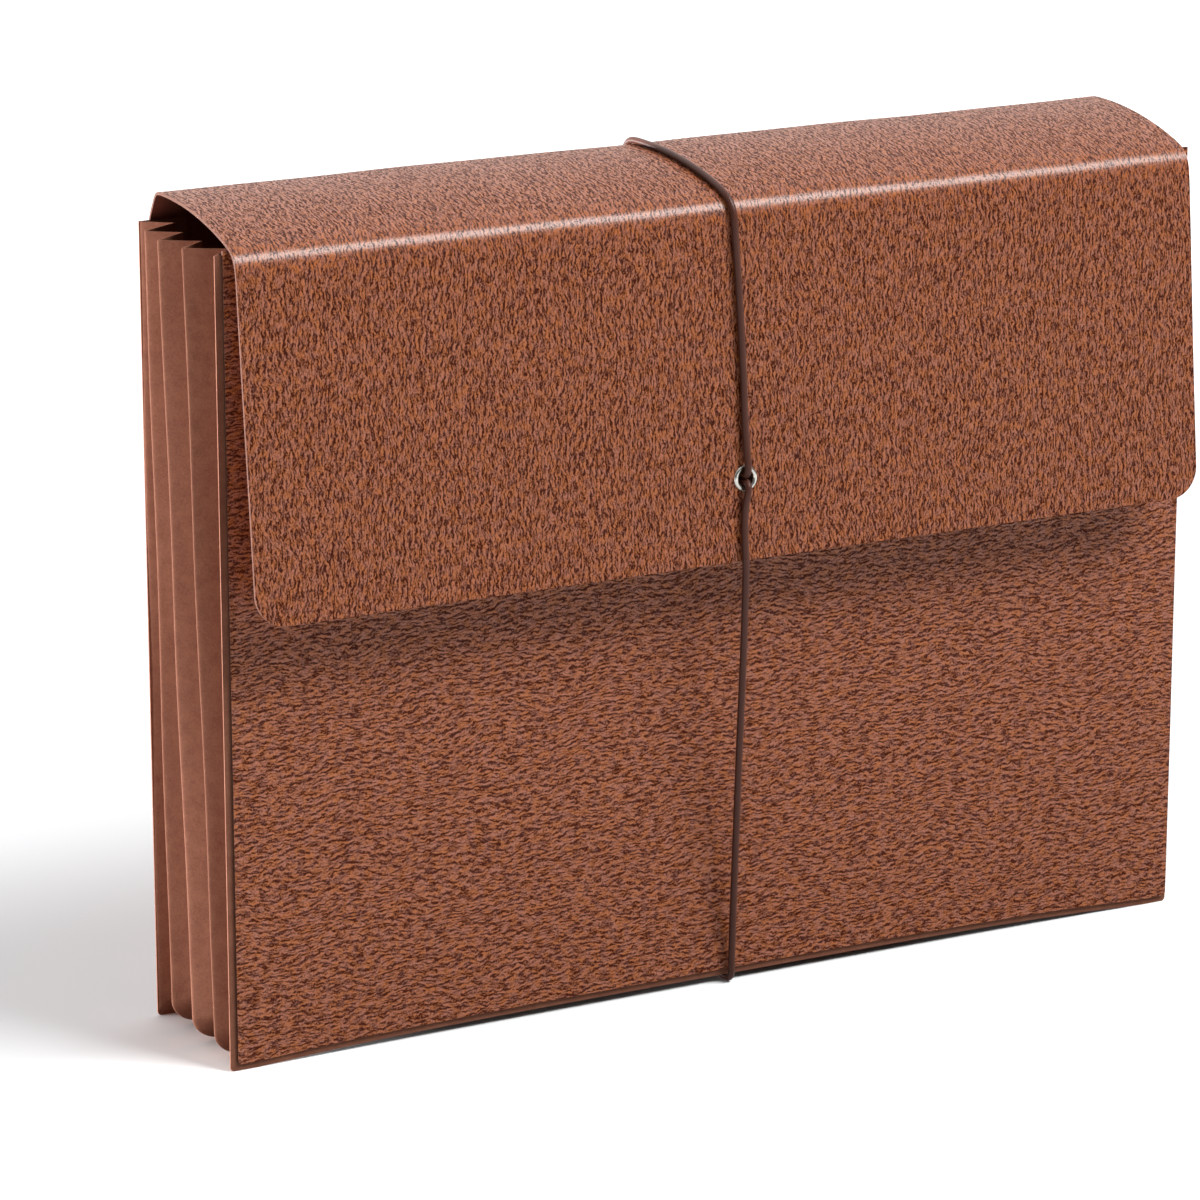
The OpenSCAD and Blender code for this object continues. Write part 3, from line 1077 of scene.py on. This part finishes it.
    def grid(self, start: float, end: float) -> tuple[Array, Array]:
        """Lay out a stretch: rows close together at folds, columns crowding toward the sides.

        Args:
            start: distance along the profile where the stretch starts.
            end: distance where it ends.

        Returns:
            Distances along the profile, and places across it from minus one to one.
        """
        folds = np.array([[self.at_bend], [self.at_fold], [self.at_crease]])
        close = folds + np.arange(-self.fine_reach, self.fine_reach, self.fine)
        tip = self.run[-1] - np.geomspace(self.corner_first, self.flap_corner_r, self.corner_steps)
        inside = np.concatenate([np.arange(start, end, self.coarse), close.ravel(), tip])
        inside = inside[(inside > start + self.fine / 2) & (inside < end - self.fine / 8)]
        even = np.linspace(-1, 1, int(2 * self.half_w / self.coarse))
        columns = np.sin(even * math.pi / 2) * self.crowding + even * (1 - self.crowding)
        run, share = np.meshgrid(merged([start], inside, [end]), columns, indexing="ij")
        return run, share

    def skin(self, x: Array, run: Array) -> tuple[Array, Array]:
        """Place the outer and inner faces of the sheet.

        Args:
            x: places across the sheet.
            run: distances along its profile, in an array of the same shape.

        Returns:
            Points on the rippled outer face, and points one board's thickness inside them.
        """
        inward = unit(self.at(run, self.inward))
        ripple = sum(wave.rise(x, run) for wave in self.ripples)
        outer = self.at(run, self.line) + inward * ripple[..., None]
        inner = outer + inward * self.outline.board_t
        return tuple(np.concatenate([x[..., None], face], axis=-1) for face in (outer, inner))

    def stretch(self, name: str, x: Array, run: Array) -> Piece:
        """Make one piece of the sheet, marked along the crease by a bell curve for wear and a painted
        highlight.

        Args:
            name: the piece's name.
            x: places across the sheet.
            run: distances along its profile, in an array of the same shape.

        Returns:
            The piece.
        """
        outer, inner = self.skin(x, run)
        materials = self.finishes.board(GrainRun.UP_THE_SHEET)
        piece = sheet_object(name, outer, inner, np.stack([x, run], axis=-1), materials)
        mark_folds(piece, np.exp(-((run - self.at_crease) / self.wear_and_highlight_reach) ** 2))
        return piece

    def build_back(self) -> Piece:
        """Make the back cover up to the middle of the band, bending where the gusset ends.

        Returns:
            The piece.
        """
        seam = (self.at_bend + self.at_fold) / 2
        run, share = self.grid(0, seam)
        x = share * self.half_w
        land = self.outline.back_land
        foot = self.outline.foot(x, -self.half_w, self.half_w, self.back_corner_r, land)
        piece = self.stretch("back_cover_board", x, foot + run * (1 - foot / seam))
        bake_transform(piece)
        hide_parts("back_cover")
        return piece

    def build_fold(self) -> Piece:
        """Make the stretch over the back fold, from mid-band to mid-top, bending at the fold.

        Returns:
            The piece.
        """
        run, share = self.grid((self.at_bend + self.at_fold) / 2, (self.at_fold + self.at_crease) / 2)
        piece = self.stretch("back_fold_board", share * self.half_w, run)
        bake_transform(piece)
        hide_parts("back_band")
        return piece

    def punch(self, piece: Piece) -> None:
        """Cut the eyelet's hole through the flap, with the cut edge in the edge's finish.

        Args:
            piece: the flap, which gets a new mesh.
        """
        turn = full_turn(self.hole_sides)[:, None]
        ring = self.hole_r * (np.cos(turn) * ACROSS + np.sin(turn) * self.flap_up)
        depth = 3 * self.outline.board_t * self.flap_inward
        points = box_middle("eyelet") + np.concatenate([ring + depth, ring - depth])
        faces = tube_faces(2, self.hole_sides)
        slots = np.full(len(faces), Side.EDGE.value)
        materials = self.finishes.board(GrainRun.UP_THE_SHEET)
        cutter = mesh_object("hole_punch", points, faces, materials, slots)
        cut = piece.modifiers.new("hole", "BOOLEAN")
        cut.operation = "DIFFERENCE"
        cut.object = cutter
        whole = piece.data
        shaped = piece.evaluated_get(bpy.context.evaluated_depsgraph_get())
        piece.data = bpy.data.meshes.new_from_object(shaped)
        piece.data.name = whole.name
        piece.data.set_sharp_from_angle(angle=CRISP_EDGE)
        piece.modifiers.clear()
        bpy.data.objects.remove(cutter)
        bpy.data.meshes.remove(whole)

    def build_flap(self) -> Piece:
        """Make the front half of the top and the flap, with its round corners and its hole.

        Returns:
            The piece.
        """
        run, share = self.grid((self.at_fold + self.at_crease) / 2, self.run[-1])
        past = np.clip(run - self.run[-1] + self.flap_corner_r, 0, self.flap_corner_r)
        taken = self.flap_corner_r - np.sqrt(self.flap_corner_r**2 - past**2)
        piece = self.stretch("flap_board", share * (self.half_w - taken), run)
        self.punch(piece)
        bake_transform(piece)
        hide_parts("top_panel", "flap")
        return piece


@dataclass
class FrontCover:
    """The separate front board, glued over the gusset's front strip."""

    outline: Outline
    finishes: Finishes
    corner_r: float = 1 * MM
    ripple: Ripple = Ripple(0.08 * MM, 171 * MM, -137 * MM, 0.9)
    # Spacing of the mesh, and the steps at a corner with the first of them
    spacing: float = 2.0 * MM
    corner_steps: int = 9
    corner_first: float = 0.02 * MM

    def build(self) -> Piece:
        """Make the board.

        Its height over its bowed foot is shared out evenly up each column, and a long slow wave
        keeps its face from being perfectly flat.

        Returns:
            The piece.
        """
        low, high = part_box("front_cover")
        side = np.geomspace(self.corner_first, self.corner_r, self.corner_steps)
        middle = np.arange(low.x + self.corner_r, high.x - self.corner_r, self.spacing)
        across = merged([low.x], low.x + side, middle, high.x - side, [high.x])
        up = np.linspace(0, 1, int((high.z - low.z) / self.spacing))
        share, x = np.meshgrid(up, across, indexing="ij")
        land = self.outline.front_land
        foot = low.z + self.outline.foot(x, low.x, high.x, self.corner_r, land)
        z = foot + share * (high.z - foot)
        y = low.y + self.ripple.rise(x, z)
        outer, inner = (np.stack([x, face, z], axis=-1) for face in (y, y + self.outline.board_t))
        materials = self.finishes.board(GrainRun.ACROSS_THE_WALLET)
        piece = sheet_object("front_cover_board", outer, inner, np.stack([z, x], axis=-1), materials)
        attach(piece, "front")
        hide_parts("front_cover")
        return piece


@dataclass
class Gusset:
    """The pleated paper gusset, in four pleats between two glued strips."""

    outline: Outline
    finishes: Finishes
    pleats: int = 4
    paper_t: float = 0.45 * MM
    pleat_depth: float = 9 * MM
    # How far the middle folds swell out at the mouth and at the foot, and how far the outer pleats
    # close up at the foot
    mouth_swell: float = 5.6 * MM
    foot_swell: float = 0.5 * MM
    foot_spread: float = 2.2 * MM
    # Corners at the foot: of the glued strips, of the outer folds, and of the inner folds
    strip_corner_r: float = 1.2 * MM
    fold_corner_w: float = 9 * MM
    fold_corner_h: float = 7 * MM
    inner_fold_r: float = 2 * MM
    # Clearances of the pleats inside the glued strips' outline and above their foot
    pleat_set: float = 0.3 * MM
    pleat_lift: float = 1 * MM
    # Unevenness of the sides, by height and by number of the fold
    wander: Ripple = Ripple(0.25 * MM, 130 * MM, 1 / 0.37)
    # How crisp a fold is: zero would be a sharp zigzag
    fold_round: float = 0.012
    # Share of a leaf left between two pleats where they meet at an outer fold
    seam: float = 0.003
    # Steps up a side, round a corner, along the foot and across half a leaf, with the first of these
    side_steps: int = 40
    corner_steps: int = 14
    foot_steps: int = 61
    leaf_steps: int = 12
    leaf_first: float = 0.012
    # Travel of the front cover when the wallet is pressed shut
    travel: float = 40 * MM

    @property
    def folds(self) -> int:
        """Stretches of paper between the two glued strips."""
        return 2 * self.pleats

    @property
    def fold_pitch(self) -> float:
        """Depth of the wallet that one leaf takes up."""
        return 2 * self.outline.gusset_half_d / self.folds

    def fold_y(self, fold: Array | int) -> Array | float:
        """Depth at which a place across the pleats lies."""
        return self.outline.middle_y + self.outline.gusset_half_d - self.fold_pitch * fold

    def corner_size(self, fold: Array, wave: Array, outer: float, inside: float) -> Array:
        """Give the size of the corners at the foot, from inner folds out to outer ones.

        Args:
            fold: places across the pleats.
            wave: minus one at inner folds and one at outer ones.
            outer: the corner's size at an outer fold that no strip is glued along.
            inside: distance of this face inside the outer one.

        Returns:
            One size for each place, in a column.
        """
        at_strip = (fold < 1) | (fold > self.folds - 1)
        tip = np.where(at_strip, self.strip_corner_r, outer)
        size = self.inner_fold_r + (tip - self.inner_fold_r) * (1 + wave) / 2
        return np.maximum(size - inside, self.inner_fold_r / 4)[:, None]

    def leaf_skin(self, fold: Array, inside: float) -> Array:
        """Place one face of a pleat's paper.

        Across the pleat, the distance in from the gusset's outline is a triangle wave with
        rounded tips: the arcsine of a cosine, scaled. It is carried down the left side, round a
        corner, along the bowed foot and up the right side, swelling out towards the mouth.

        Args:
            fold: places across the pleats, with even numbers at outer folds.
            inside: distance of this face inside the outer one.

        Returns:
            Points, with one row for each place across and one column for each place along.
        """
        limit = 1 - self.fold_round
        wave = np.arcsin(limit * np.cos(math.pi * fold)) / math.asin(limit)
        depth = self.pleat_depth * (1 - wave) / 2 + inside
        swell = np.sin(math.pi * fold / self.folds)
        edge = self.outline.half_w - self.pleat_set
        x_top = (edge + self.mouth_swell * swell - depth)[:, None]
        x_foot = (edge + self.foot_swell * swell - depth)[:, None]
        z_foot = (self.pleat_lift - self.foot_swell * swell + depth)[:, None]
        corner_w = self.corner_size(fold, wave, self.fold_corner_w, inside)
        corner_h = self.corner_size(fold, wave, self.fold_corner_h, inside)
        down = np.linspace(0, 1, self.side_steps)[None]
        turn = np.linspace(0, math.pi / 2, self.corner_steps)[None, 1:-1]
        side_z = self.outline.gusset_top + (z_foot + corner_h - self.outline.gusset_top) * down
        drift = self.wander.rise(side_z, fold[:, None]) * np.sin(math.pi * down)
        side_x = x_top + (x_foot - x_top) * down + drift
        corner_x = x_foot - corner_w * (1 - np.cos(turn))
        corner_z = z_foot + corner_h * (1 - np.sin(turn))
        half_x = np.concatenate([side_x, corner_x], axis=1)
        half_z = np.concatenate([side_z, corner_z], axis=1)
        foot_x = (x_foot - corner_w) * np.linspace(-1, 1, self.foot_steps)[None]
        foot_z = z_foot + self.outline.bow(foot_x, self.outline.front_land)
        x = np.concatenate([-half_x, foot_x, half_x[:, ::-1]], axis=1)
        z = np.concatenate([half_z, foot_z, half_z[:, ::-1]], axis=1)
        low = np.ones((1, corner_x.shape[1]))
        spread = np.concatenate([down, low, np.ones_like(foot_x[:1]), low, down[:, ::-1]], axis=1)
        open_foot = self.foot_spread * np.sin(2 * math.pi * fold / self.folds)
        return np.stack([x, self.fold_y(fold)[:, None] + open_foot[:, None] * spread, z], axis=-1)

    def build_pleat(self, number: int) -> Piece:
        """Make one pleat: two leaves from an outer fold in to an inner fold and out again.

        Args:
            number: the pleat's number, from one at the back.

        Returns:
            The piece.
        """
        near_fold = np.geomspace(self.leaf_first, 0.5, self.leaf_steps)
        leaf = np.concatenate([[0], near_fold, 1 - near_fold[-2::-1], [1]])
        inner_fold = 2 * number - 1
        fold = inner_fold - 1 + np.concatenate([leaf, 1 + leaf[1:]])
        fold[[0, -1]] += self.seam, -self.seam
        slope = math.hypot(self.pleat_depth, self.fold_pitch)
        outer = self.leaf_skin(fold, 0.0)
        inner = self.leaf_skin(fold, self.paper_t * slope / self.fold_pitch)
        shape = outer.shape[:2]
        pattern = np.stack([outer[..., 2], np.broadcast_to(fold[:, None] * slope, shape)], axis=-1)
        piece = sheet_object(f"gusset_leaves_{number}", outer, inner, pattern, [self.finishes.paper] * 3)
        mark_folds(piece, np.broadcast_to(np.abs(fold - inner_fold)[:, None], shape))
        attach(piece, f"pleat_{number}")
        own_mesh(piece)
        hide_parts(f"gusset_pleat_{number}")
        return piece

    def dress_strips(self) -> list[Piece]:
        """Give the two glued strips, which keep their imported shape, the paper's finish.

        Returns:
            The strips.
        """
        strips = [frame["nodes"][name] for name in ("gusset_back_strip", "gusset_front_strip")]
        for strip in strips:
            strip.data.materials.clear()
            strip.data.materials.append(self.finishes.paper)
        return strips


@dataclass
class Fastening:
    """Eyelet, elastic and knot that hold the flap shut."""

    sheet: CoverSheet
    finishes: Finishes
    # Radii of the eyelet's rim, bore and curl, its wall, and the steps of its profile and round it
    rim_r: float = 3.7 * MM
    bore_r: float = 2.25 * MM
    curl_r: float = 0.5 * MM
    wall: float = 0.35 * MM
    rim_steps: int = 17
    eyelet_sides: int = 72
    # Radius of the elastic, its mesh, and its clearance over the top
    cord_r: float = 1.0 * MM
    cord_sides: int = 20
    cord_step: float = 1.0 * MM
    cord_gap: float = 0.05 * MM
    # Route points between which the elastic lies at the eyelet and doesn't leave the flap
    tie_up: int = 7
    tie_down: int = 42
    # Lean of the direction in which the loop draws flat, in degrees, and the share of it that is left
    loop_lean: float = 3.0
    loop_keep: float = 0.05
    # The knot's size, its cord's radius, its depth in shares of its size, the turn between its ends,
    # its steps, and how far the direction that its rings start from leans up the flap
    knot_r: float = 1.75 * MM
    knot_cord_r: float = 0.85 * MM
    knot_depth: float = 0.5
    knot_gap: float = 0.12
    knot_steps: int = 160
    knot_lean: float = 0.2
    # Middle of the eyelet, on the flap's outer face
    seat: Array = field(init=False)

    def __post_init__(self) -> None:
        """Find the eyelet's seat on the flap."""
        middle, inward = box_middle("eyelet"), self.sheet.flap_inward
        self.seat = middle - inward * np.dot(middle - np.array([0, *self.sheet.crease]), inward)

    def on_flap(self, across: Array, inward: Array, up: Array) -> Array:
        """Place points on the flap.

        Args:
            across: distances to the right of the eyelet's middle.
            inward: distances into the flap.
            up: distances up the flap.

        Returns:
            The points.
        """
        ways = ((across, ACROSS), (inward, self.sheet.flap_inward), (up, self.sheet.flap_up))
        return self.seat + sum(distance[..., None] * way for distance, way in ways)

    def build_eyelet(self) -> Piece:
        """Make the eyelet.

        A closed profile is turned about the bore: a half round rim in front, the bore's wall, a
        half round curl behind and the way back along the barrel.

        Returns:
            The piece.
        """
        half = np.linspace(0, math.pi, self.rim_steps)
        board_t = self.sheet.outline.board_t
        rim = (self.rim_r - self.bore_r) / 2
        front = np.stack([self.bore_r + rim + rim * np.cos(half), -rim * np.sin(half)], axis=1)
        curl = self.bore_r + self.curl_r - self.curl_r * np.cos(half)
        back = np.stack([curl, board_t + self.curl_r * np.sin(half)], axis=1)
        barrel = self.bore_r + self.wall
        profile = np.concatenate([front, back, [[barrel, board_t], [barrel, 0.0]]])
        turn = full_turn(self.eyelet_sides)
        radius, depth = profile[:, 0, None], profile[:, 1, None]
        points = self.on_flap(radius * np.cos(turn), depth + 0 * turn, radius * np.sin(turn))
        quads = grid_quads(len(profile), len(turn), wrap_rows=True, wrap_columns=True)
        piece = mesh_object("eyelet_ring", points.reshape(-1, 3), quads.tolist(), [self.finishes.nickel])
        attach(piece, "flap")
        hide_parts("eyelet")
        return piece

    def settled(self, path: Array) -> Array:
        """Lay a path's points on the sheet where it runs over the top.

        Each point moves to the sheet's nearest place plus the cord's radius outward. The share
        of that move rises from nothing to all of it past the bend and past the crease.

        Args:
            path: points of the cord's centre line.

        Returns:
            The points, with those away from the top where they were.
        """
        sheet = self.sheet
        nearest = np.linalg.norm(path[:, None, 1:] - sheet.line[None], axis=2).argmin(axis=1)
        run = sheet.run[nearest]
        past_bend = (run - sheet.at_bend + sheet.fine_reach) / sheet.fine_reach
        past_crease = (sheet.at_crease + sheet.fine_reach - run) / sheet.fine_reach
        share = np.clip(np.minimum(past_bend, past_crease), 0, 1)[:, None]
        share = share**2 * (3 - 2 * share)
        outer, inner = sheet.skin(path[:, 0], run)
        seat = outer - unit(inner - outer) * (self.cord_r + self.cord_gap)
        return path + (seat - path) * share

    def build_elastic(self) -> list[Piece]:
        """Make the loop of elastic.

        The ends at the eyelet stay round on the flap. The rest of the loop is a third tube, also on the
        flap, with a mesh of its own.

        Returns:
            The two ends and the loop.
        """
        route = np.array(ELASTIC_ROUTE)
        stretches = {
            "elastic_upper_end": route[: self.tie_up + 1],
            "elastic_lower_end": route[self.tie_down:],
            "elastic_loop": route[self.tie_up: self.tie_down + 1],
        }
        pieces = []
        for name, points in stretches.items():
            path = self.settled(smooth_route(points, self.cord_step))
            piece = tube_object(name, path, self.cord_r, self.cord_sides, self.finishes.elastic, ACROSS)
            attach(piece, "flap")
            pieces.append(piece)
        loop = pieces[-1]
        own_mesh(loop)
        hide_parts("elastic_cord")
        return pieces

    def build_knot(self) -> Piece:
        """Make the knot behind the flap.

        Its line is a trefoil: a sine and twice the sine of double the turn, drawn tight.

        Returns:
            The piece.
        """
        inward = self.sheet.flap_inward
        turn = np.linspace(self.knot_gap, 2 * math.pi - self.knot_gap, self.knot_steps)
        across = (np.sin(turn) + 2 * np.sin(2 * turn)) / 3 * self.knot_r
        up = (np.cos(turn) - 2 * np.cos(2 * turn)) / 3 * self.knot_r
        middle = float(np.dot(box_middle("cord_knot") - self.seat, inward))
        depth = middle - np.sin(3 * turn) * self.knot_r * self.knot_depth
        piece = tube_object(
            "elastic_knot", self.on_flap(across, depth, up), self.knot_cord_r, self.cord_sides,
            self.finishes.elastic, inward + self.knot_lean * self.sheet.flap_up,
        )
        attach(piece, "flap")
        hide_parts("cord_knot")
        return piece


@dataclass(frozen=True)
class SoftBox:
    """A rectangular studio lamp that faces a point."""

    name: str
    place: Point
    aim: Point
    width: float
    height: float
    power: float

    def build(self) -> None:
        """Hang the lamp and turn it to its aim."""
        light = bpy.data.lights.new(self.name, "AREA")
        light.shape = "RECTANGLE"
        light.size = self.width
        light.size_y = self.height
        light.energy = self.power
        place = np.array(self.place)
        away = unit(place - np.array(self.aim))
        side = unit(np.cross([0, 0, 1.0], away))
        lamp = link_object(self.name, light)
        lamp.matrix_world = turned(place, side, np.cross(away, side), away)


@dataclass(frozen=True)
class Studio:
    """Floor, light and camera."""

    # The camera's turn about the wallet and its height angle, in degrees
    azimuth: float = -27.92
    elevation: float = 15.926
    distance: float = 1.5114
    # Point at the wallet's middle that the view is laid out from, and the view's shift from it
    target_z: float = 0.12
    shift_right: float = -0.02211
    shift_up: float = -0.01223
    # Focal length in pixels of the square picture, the picture's width, and how far the view goes
    focal_px: float = 5328.6
    picture_px: float = 1200.0
    sensor_mm: float = 36.0
    view_end: float = 100.0
    # Direction in which the surround is brightest, its strength away from there and there, and
    # how late it rises between
    sky: str = "FFFFFF"
    sky_high: Point = (0.0, 0.707, 0.707)
    sky_dim: float = 0.05
    sky_bright: float = 1.85
    sky_fade: float = 3.0
    # A key from the upper right, and a low light along the gusset
    lamps: tuple[SoftBox, ...] = (
        SoftBox("key", (3.4, -3.8, 6.05), (0.0, 0.0, 0.15), width=3.6, height=3.2, power=880.0),
        SoftBox("side", (-2.1, 1.15, 0.07), (0.0, 0.0, 0.07), width=1.0, height=0.12, power=300.0),
    )
    # Tone of the floor under the wallet, dimmer there as painted shade that deepens the wallet's cast
    # shadow, and away from it, the distances between which it changes, and half the floor's side
    floor_near: str = "C4C6C8"
    floor_far: str = "F2F3F3"
    floor_fade: Span = (0.4, 1.4)
    floor_half: float = 8.0
    # Depths between which the floor that the camera sees turns pale toward the front, as painted light
    floor_ahead: Span = (0.02, -0.03)
    floor_roughness: float = 0.9
    floor_specular: float = 0.1

    def build_camera(self, middle_y: float) -> None:
        """Set the camera at the photograph's viewing angle.

        Args:
            middle_y: depth of the wallet's middle.
        """
        turn, rise = math.radians(self.azimuth), math.radians(self.elevation)
        back = np.array(
            [math.sin(turn) * math.cos(rise), -math.cos(turn) * math.cos(rise), math.sin(rise)]
        )
        right = np.array([math.cos(turn), math.sin(turn), 0.0])
        up = np.cross(back, right)
        target = np.array([0.0, middle_y, self.target_z])
        place = target + back * self.distance + right * self.shift_right + up * self.shift_up
        lens = bpy.data.cameras.new("camera")
        lens.sensor_width = self.sensor_mm
        lens.lens = self.focal_px / self.picture_px * self.sensor_mm
        lens.clip_end = self.view_end
        camera = link_object("camera", lens)
        camera.matrix_world = turned(place, right, up, back)
        bpy.context.scene.camera = camera

    def build_floor(self) -> None:
        """Lay the pale floor that the wallet stands on, paler away from it and in front of it.

        The dimmer floor near the wallet is painted shade that deepens its cast shadow. The paler front
        is painted light for the camera alone, so it throws no more light on the front cover.
        """
        material, tree, shader = new_material(
            "painted_board_matt",
            {"Roughness": self.floor_roughness, "Specular IOR Level": self.floor_specular},
        )
        place = add_node(tree, "TexCoord", output="Object")
        distance = add_node(tree, "VectorMath", {0: place}, "Value", operation="LENGTH")
        depth = add_node(tree, "SeparateXYZ", {0: place}, "Y")
        away, ahead = (
            add_node(
                tree, "MapRange", {"Value": value, "From Min": start, "From Max": end},
                interpolation_type="SMOOTHSTEP",
            )
            for value, (start, end) in ((distance, self.floor_fade), (depth, self.floor_ahead))
        )
        # Painted light: the front turns paler only for rays from the camera
        sight = add_node(tree, "LightPath", output="Is Camera Ray")
        painted_light_ahead = add_node(tree, "Math", {0: ahead, 1: sight}, operation="MULTIPLY")
        paleness = add_node(tree, "Math", {0: away, 1: painted_light_ahead}, operation="MAXIMUM")
        colour = add_node(
            tree, "Mix", {0: paleness, MIX_A: linear(self.floor_near), MIX_B: linear(self.floor_far)},
            MIX_RESULT, data_type="RGBA",
        )
        feed(tree, shader, {"Base Color": colour})
        corners = self.floor_half * np.array([[-1, -1, 0], [1, -1, 0], [1, 1, 0], [-1, 1, 0]])
        floor = mesh_object("floor", corners, [[0, 1, 2, 3]], [material])

    def build_light(self) -> None:
        """Light the wallet with the lamps and a surround.

        The surround is brightest above and behind the wallet, and dim on the camera's side.
        """
        scene = bpy.context.scene
        scene.view_settings.view_transform = "Standard"
        world = bpy.data.worlds.new("surround")
        scene.world = world
        world.use_nodes = True
        tree = world.node_tree
        direction = add_node(tree, "TexCoord", output="Generated")
        toward = add_node(
            tree, "VectorMath", {0: direction, 1: self.sky_high}, "Value", operation="DOT_PRODUCT"
        )
        nearness = add_node(tree, "MapRange", {"Value": toward, "From Min": -1.0, "From Max": 1.0})
        fade = add_node(tree, "Math", {0: nearness, 1: self.sky_fade}, operation="POWER")
        strength = add_node(
            tree, "MapRange", {"Value": fade, "To Min": self.sky_dim, "To Max": self.sky_bright}
        )
        feed(tree, tree.nodes["Background"], {"Color": linear(self.sky), "Strength": strength})
        for lamp in self.lamps:
            lamp.build()


def main() -> None:
    """Build the wallet and its studio, and write how large the dressed model is."""
    logging.basicConfig(level=logging.INFO, format="%(name)s: %(message)s")
    finishes = Finishes.make()
    outline = Outline.from_frame()
    studio = Studio()
    studio.build_camera(outline.middle_y)
    sheet = CoverSheet(outline, finishes)
    fastening = Fastening(sheet, finishes)
    gusset = Gusset(outline, finishes)
    pieces = fastening.build_elastic()
    pieces += [fastening.build_eyelet(), fastening.build_knot()]
    pieces += [sheet.build_back(), sheet.build_fold(), sheet.build_flap()]
    pieces += [FrontCover(outline, finishes).build()]
    pieces += [gusset.build_pleat(number + 1) for number in range(gusset.pleats)]
    pieces += gusset.dress_strips()
    studio.build_floor()
    studio.build_light()
    for piece in pieces:
        LOG.info("%s: %d faces", piece.name, len(piece.data.polygons))


if __name__ == "__main__":
    main()
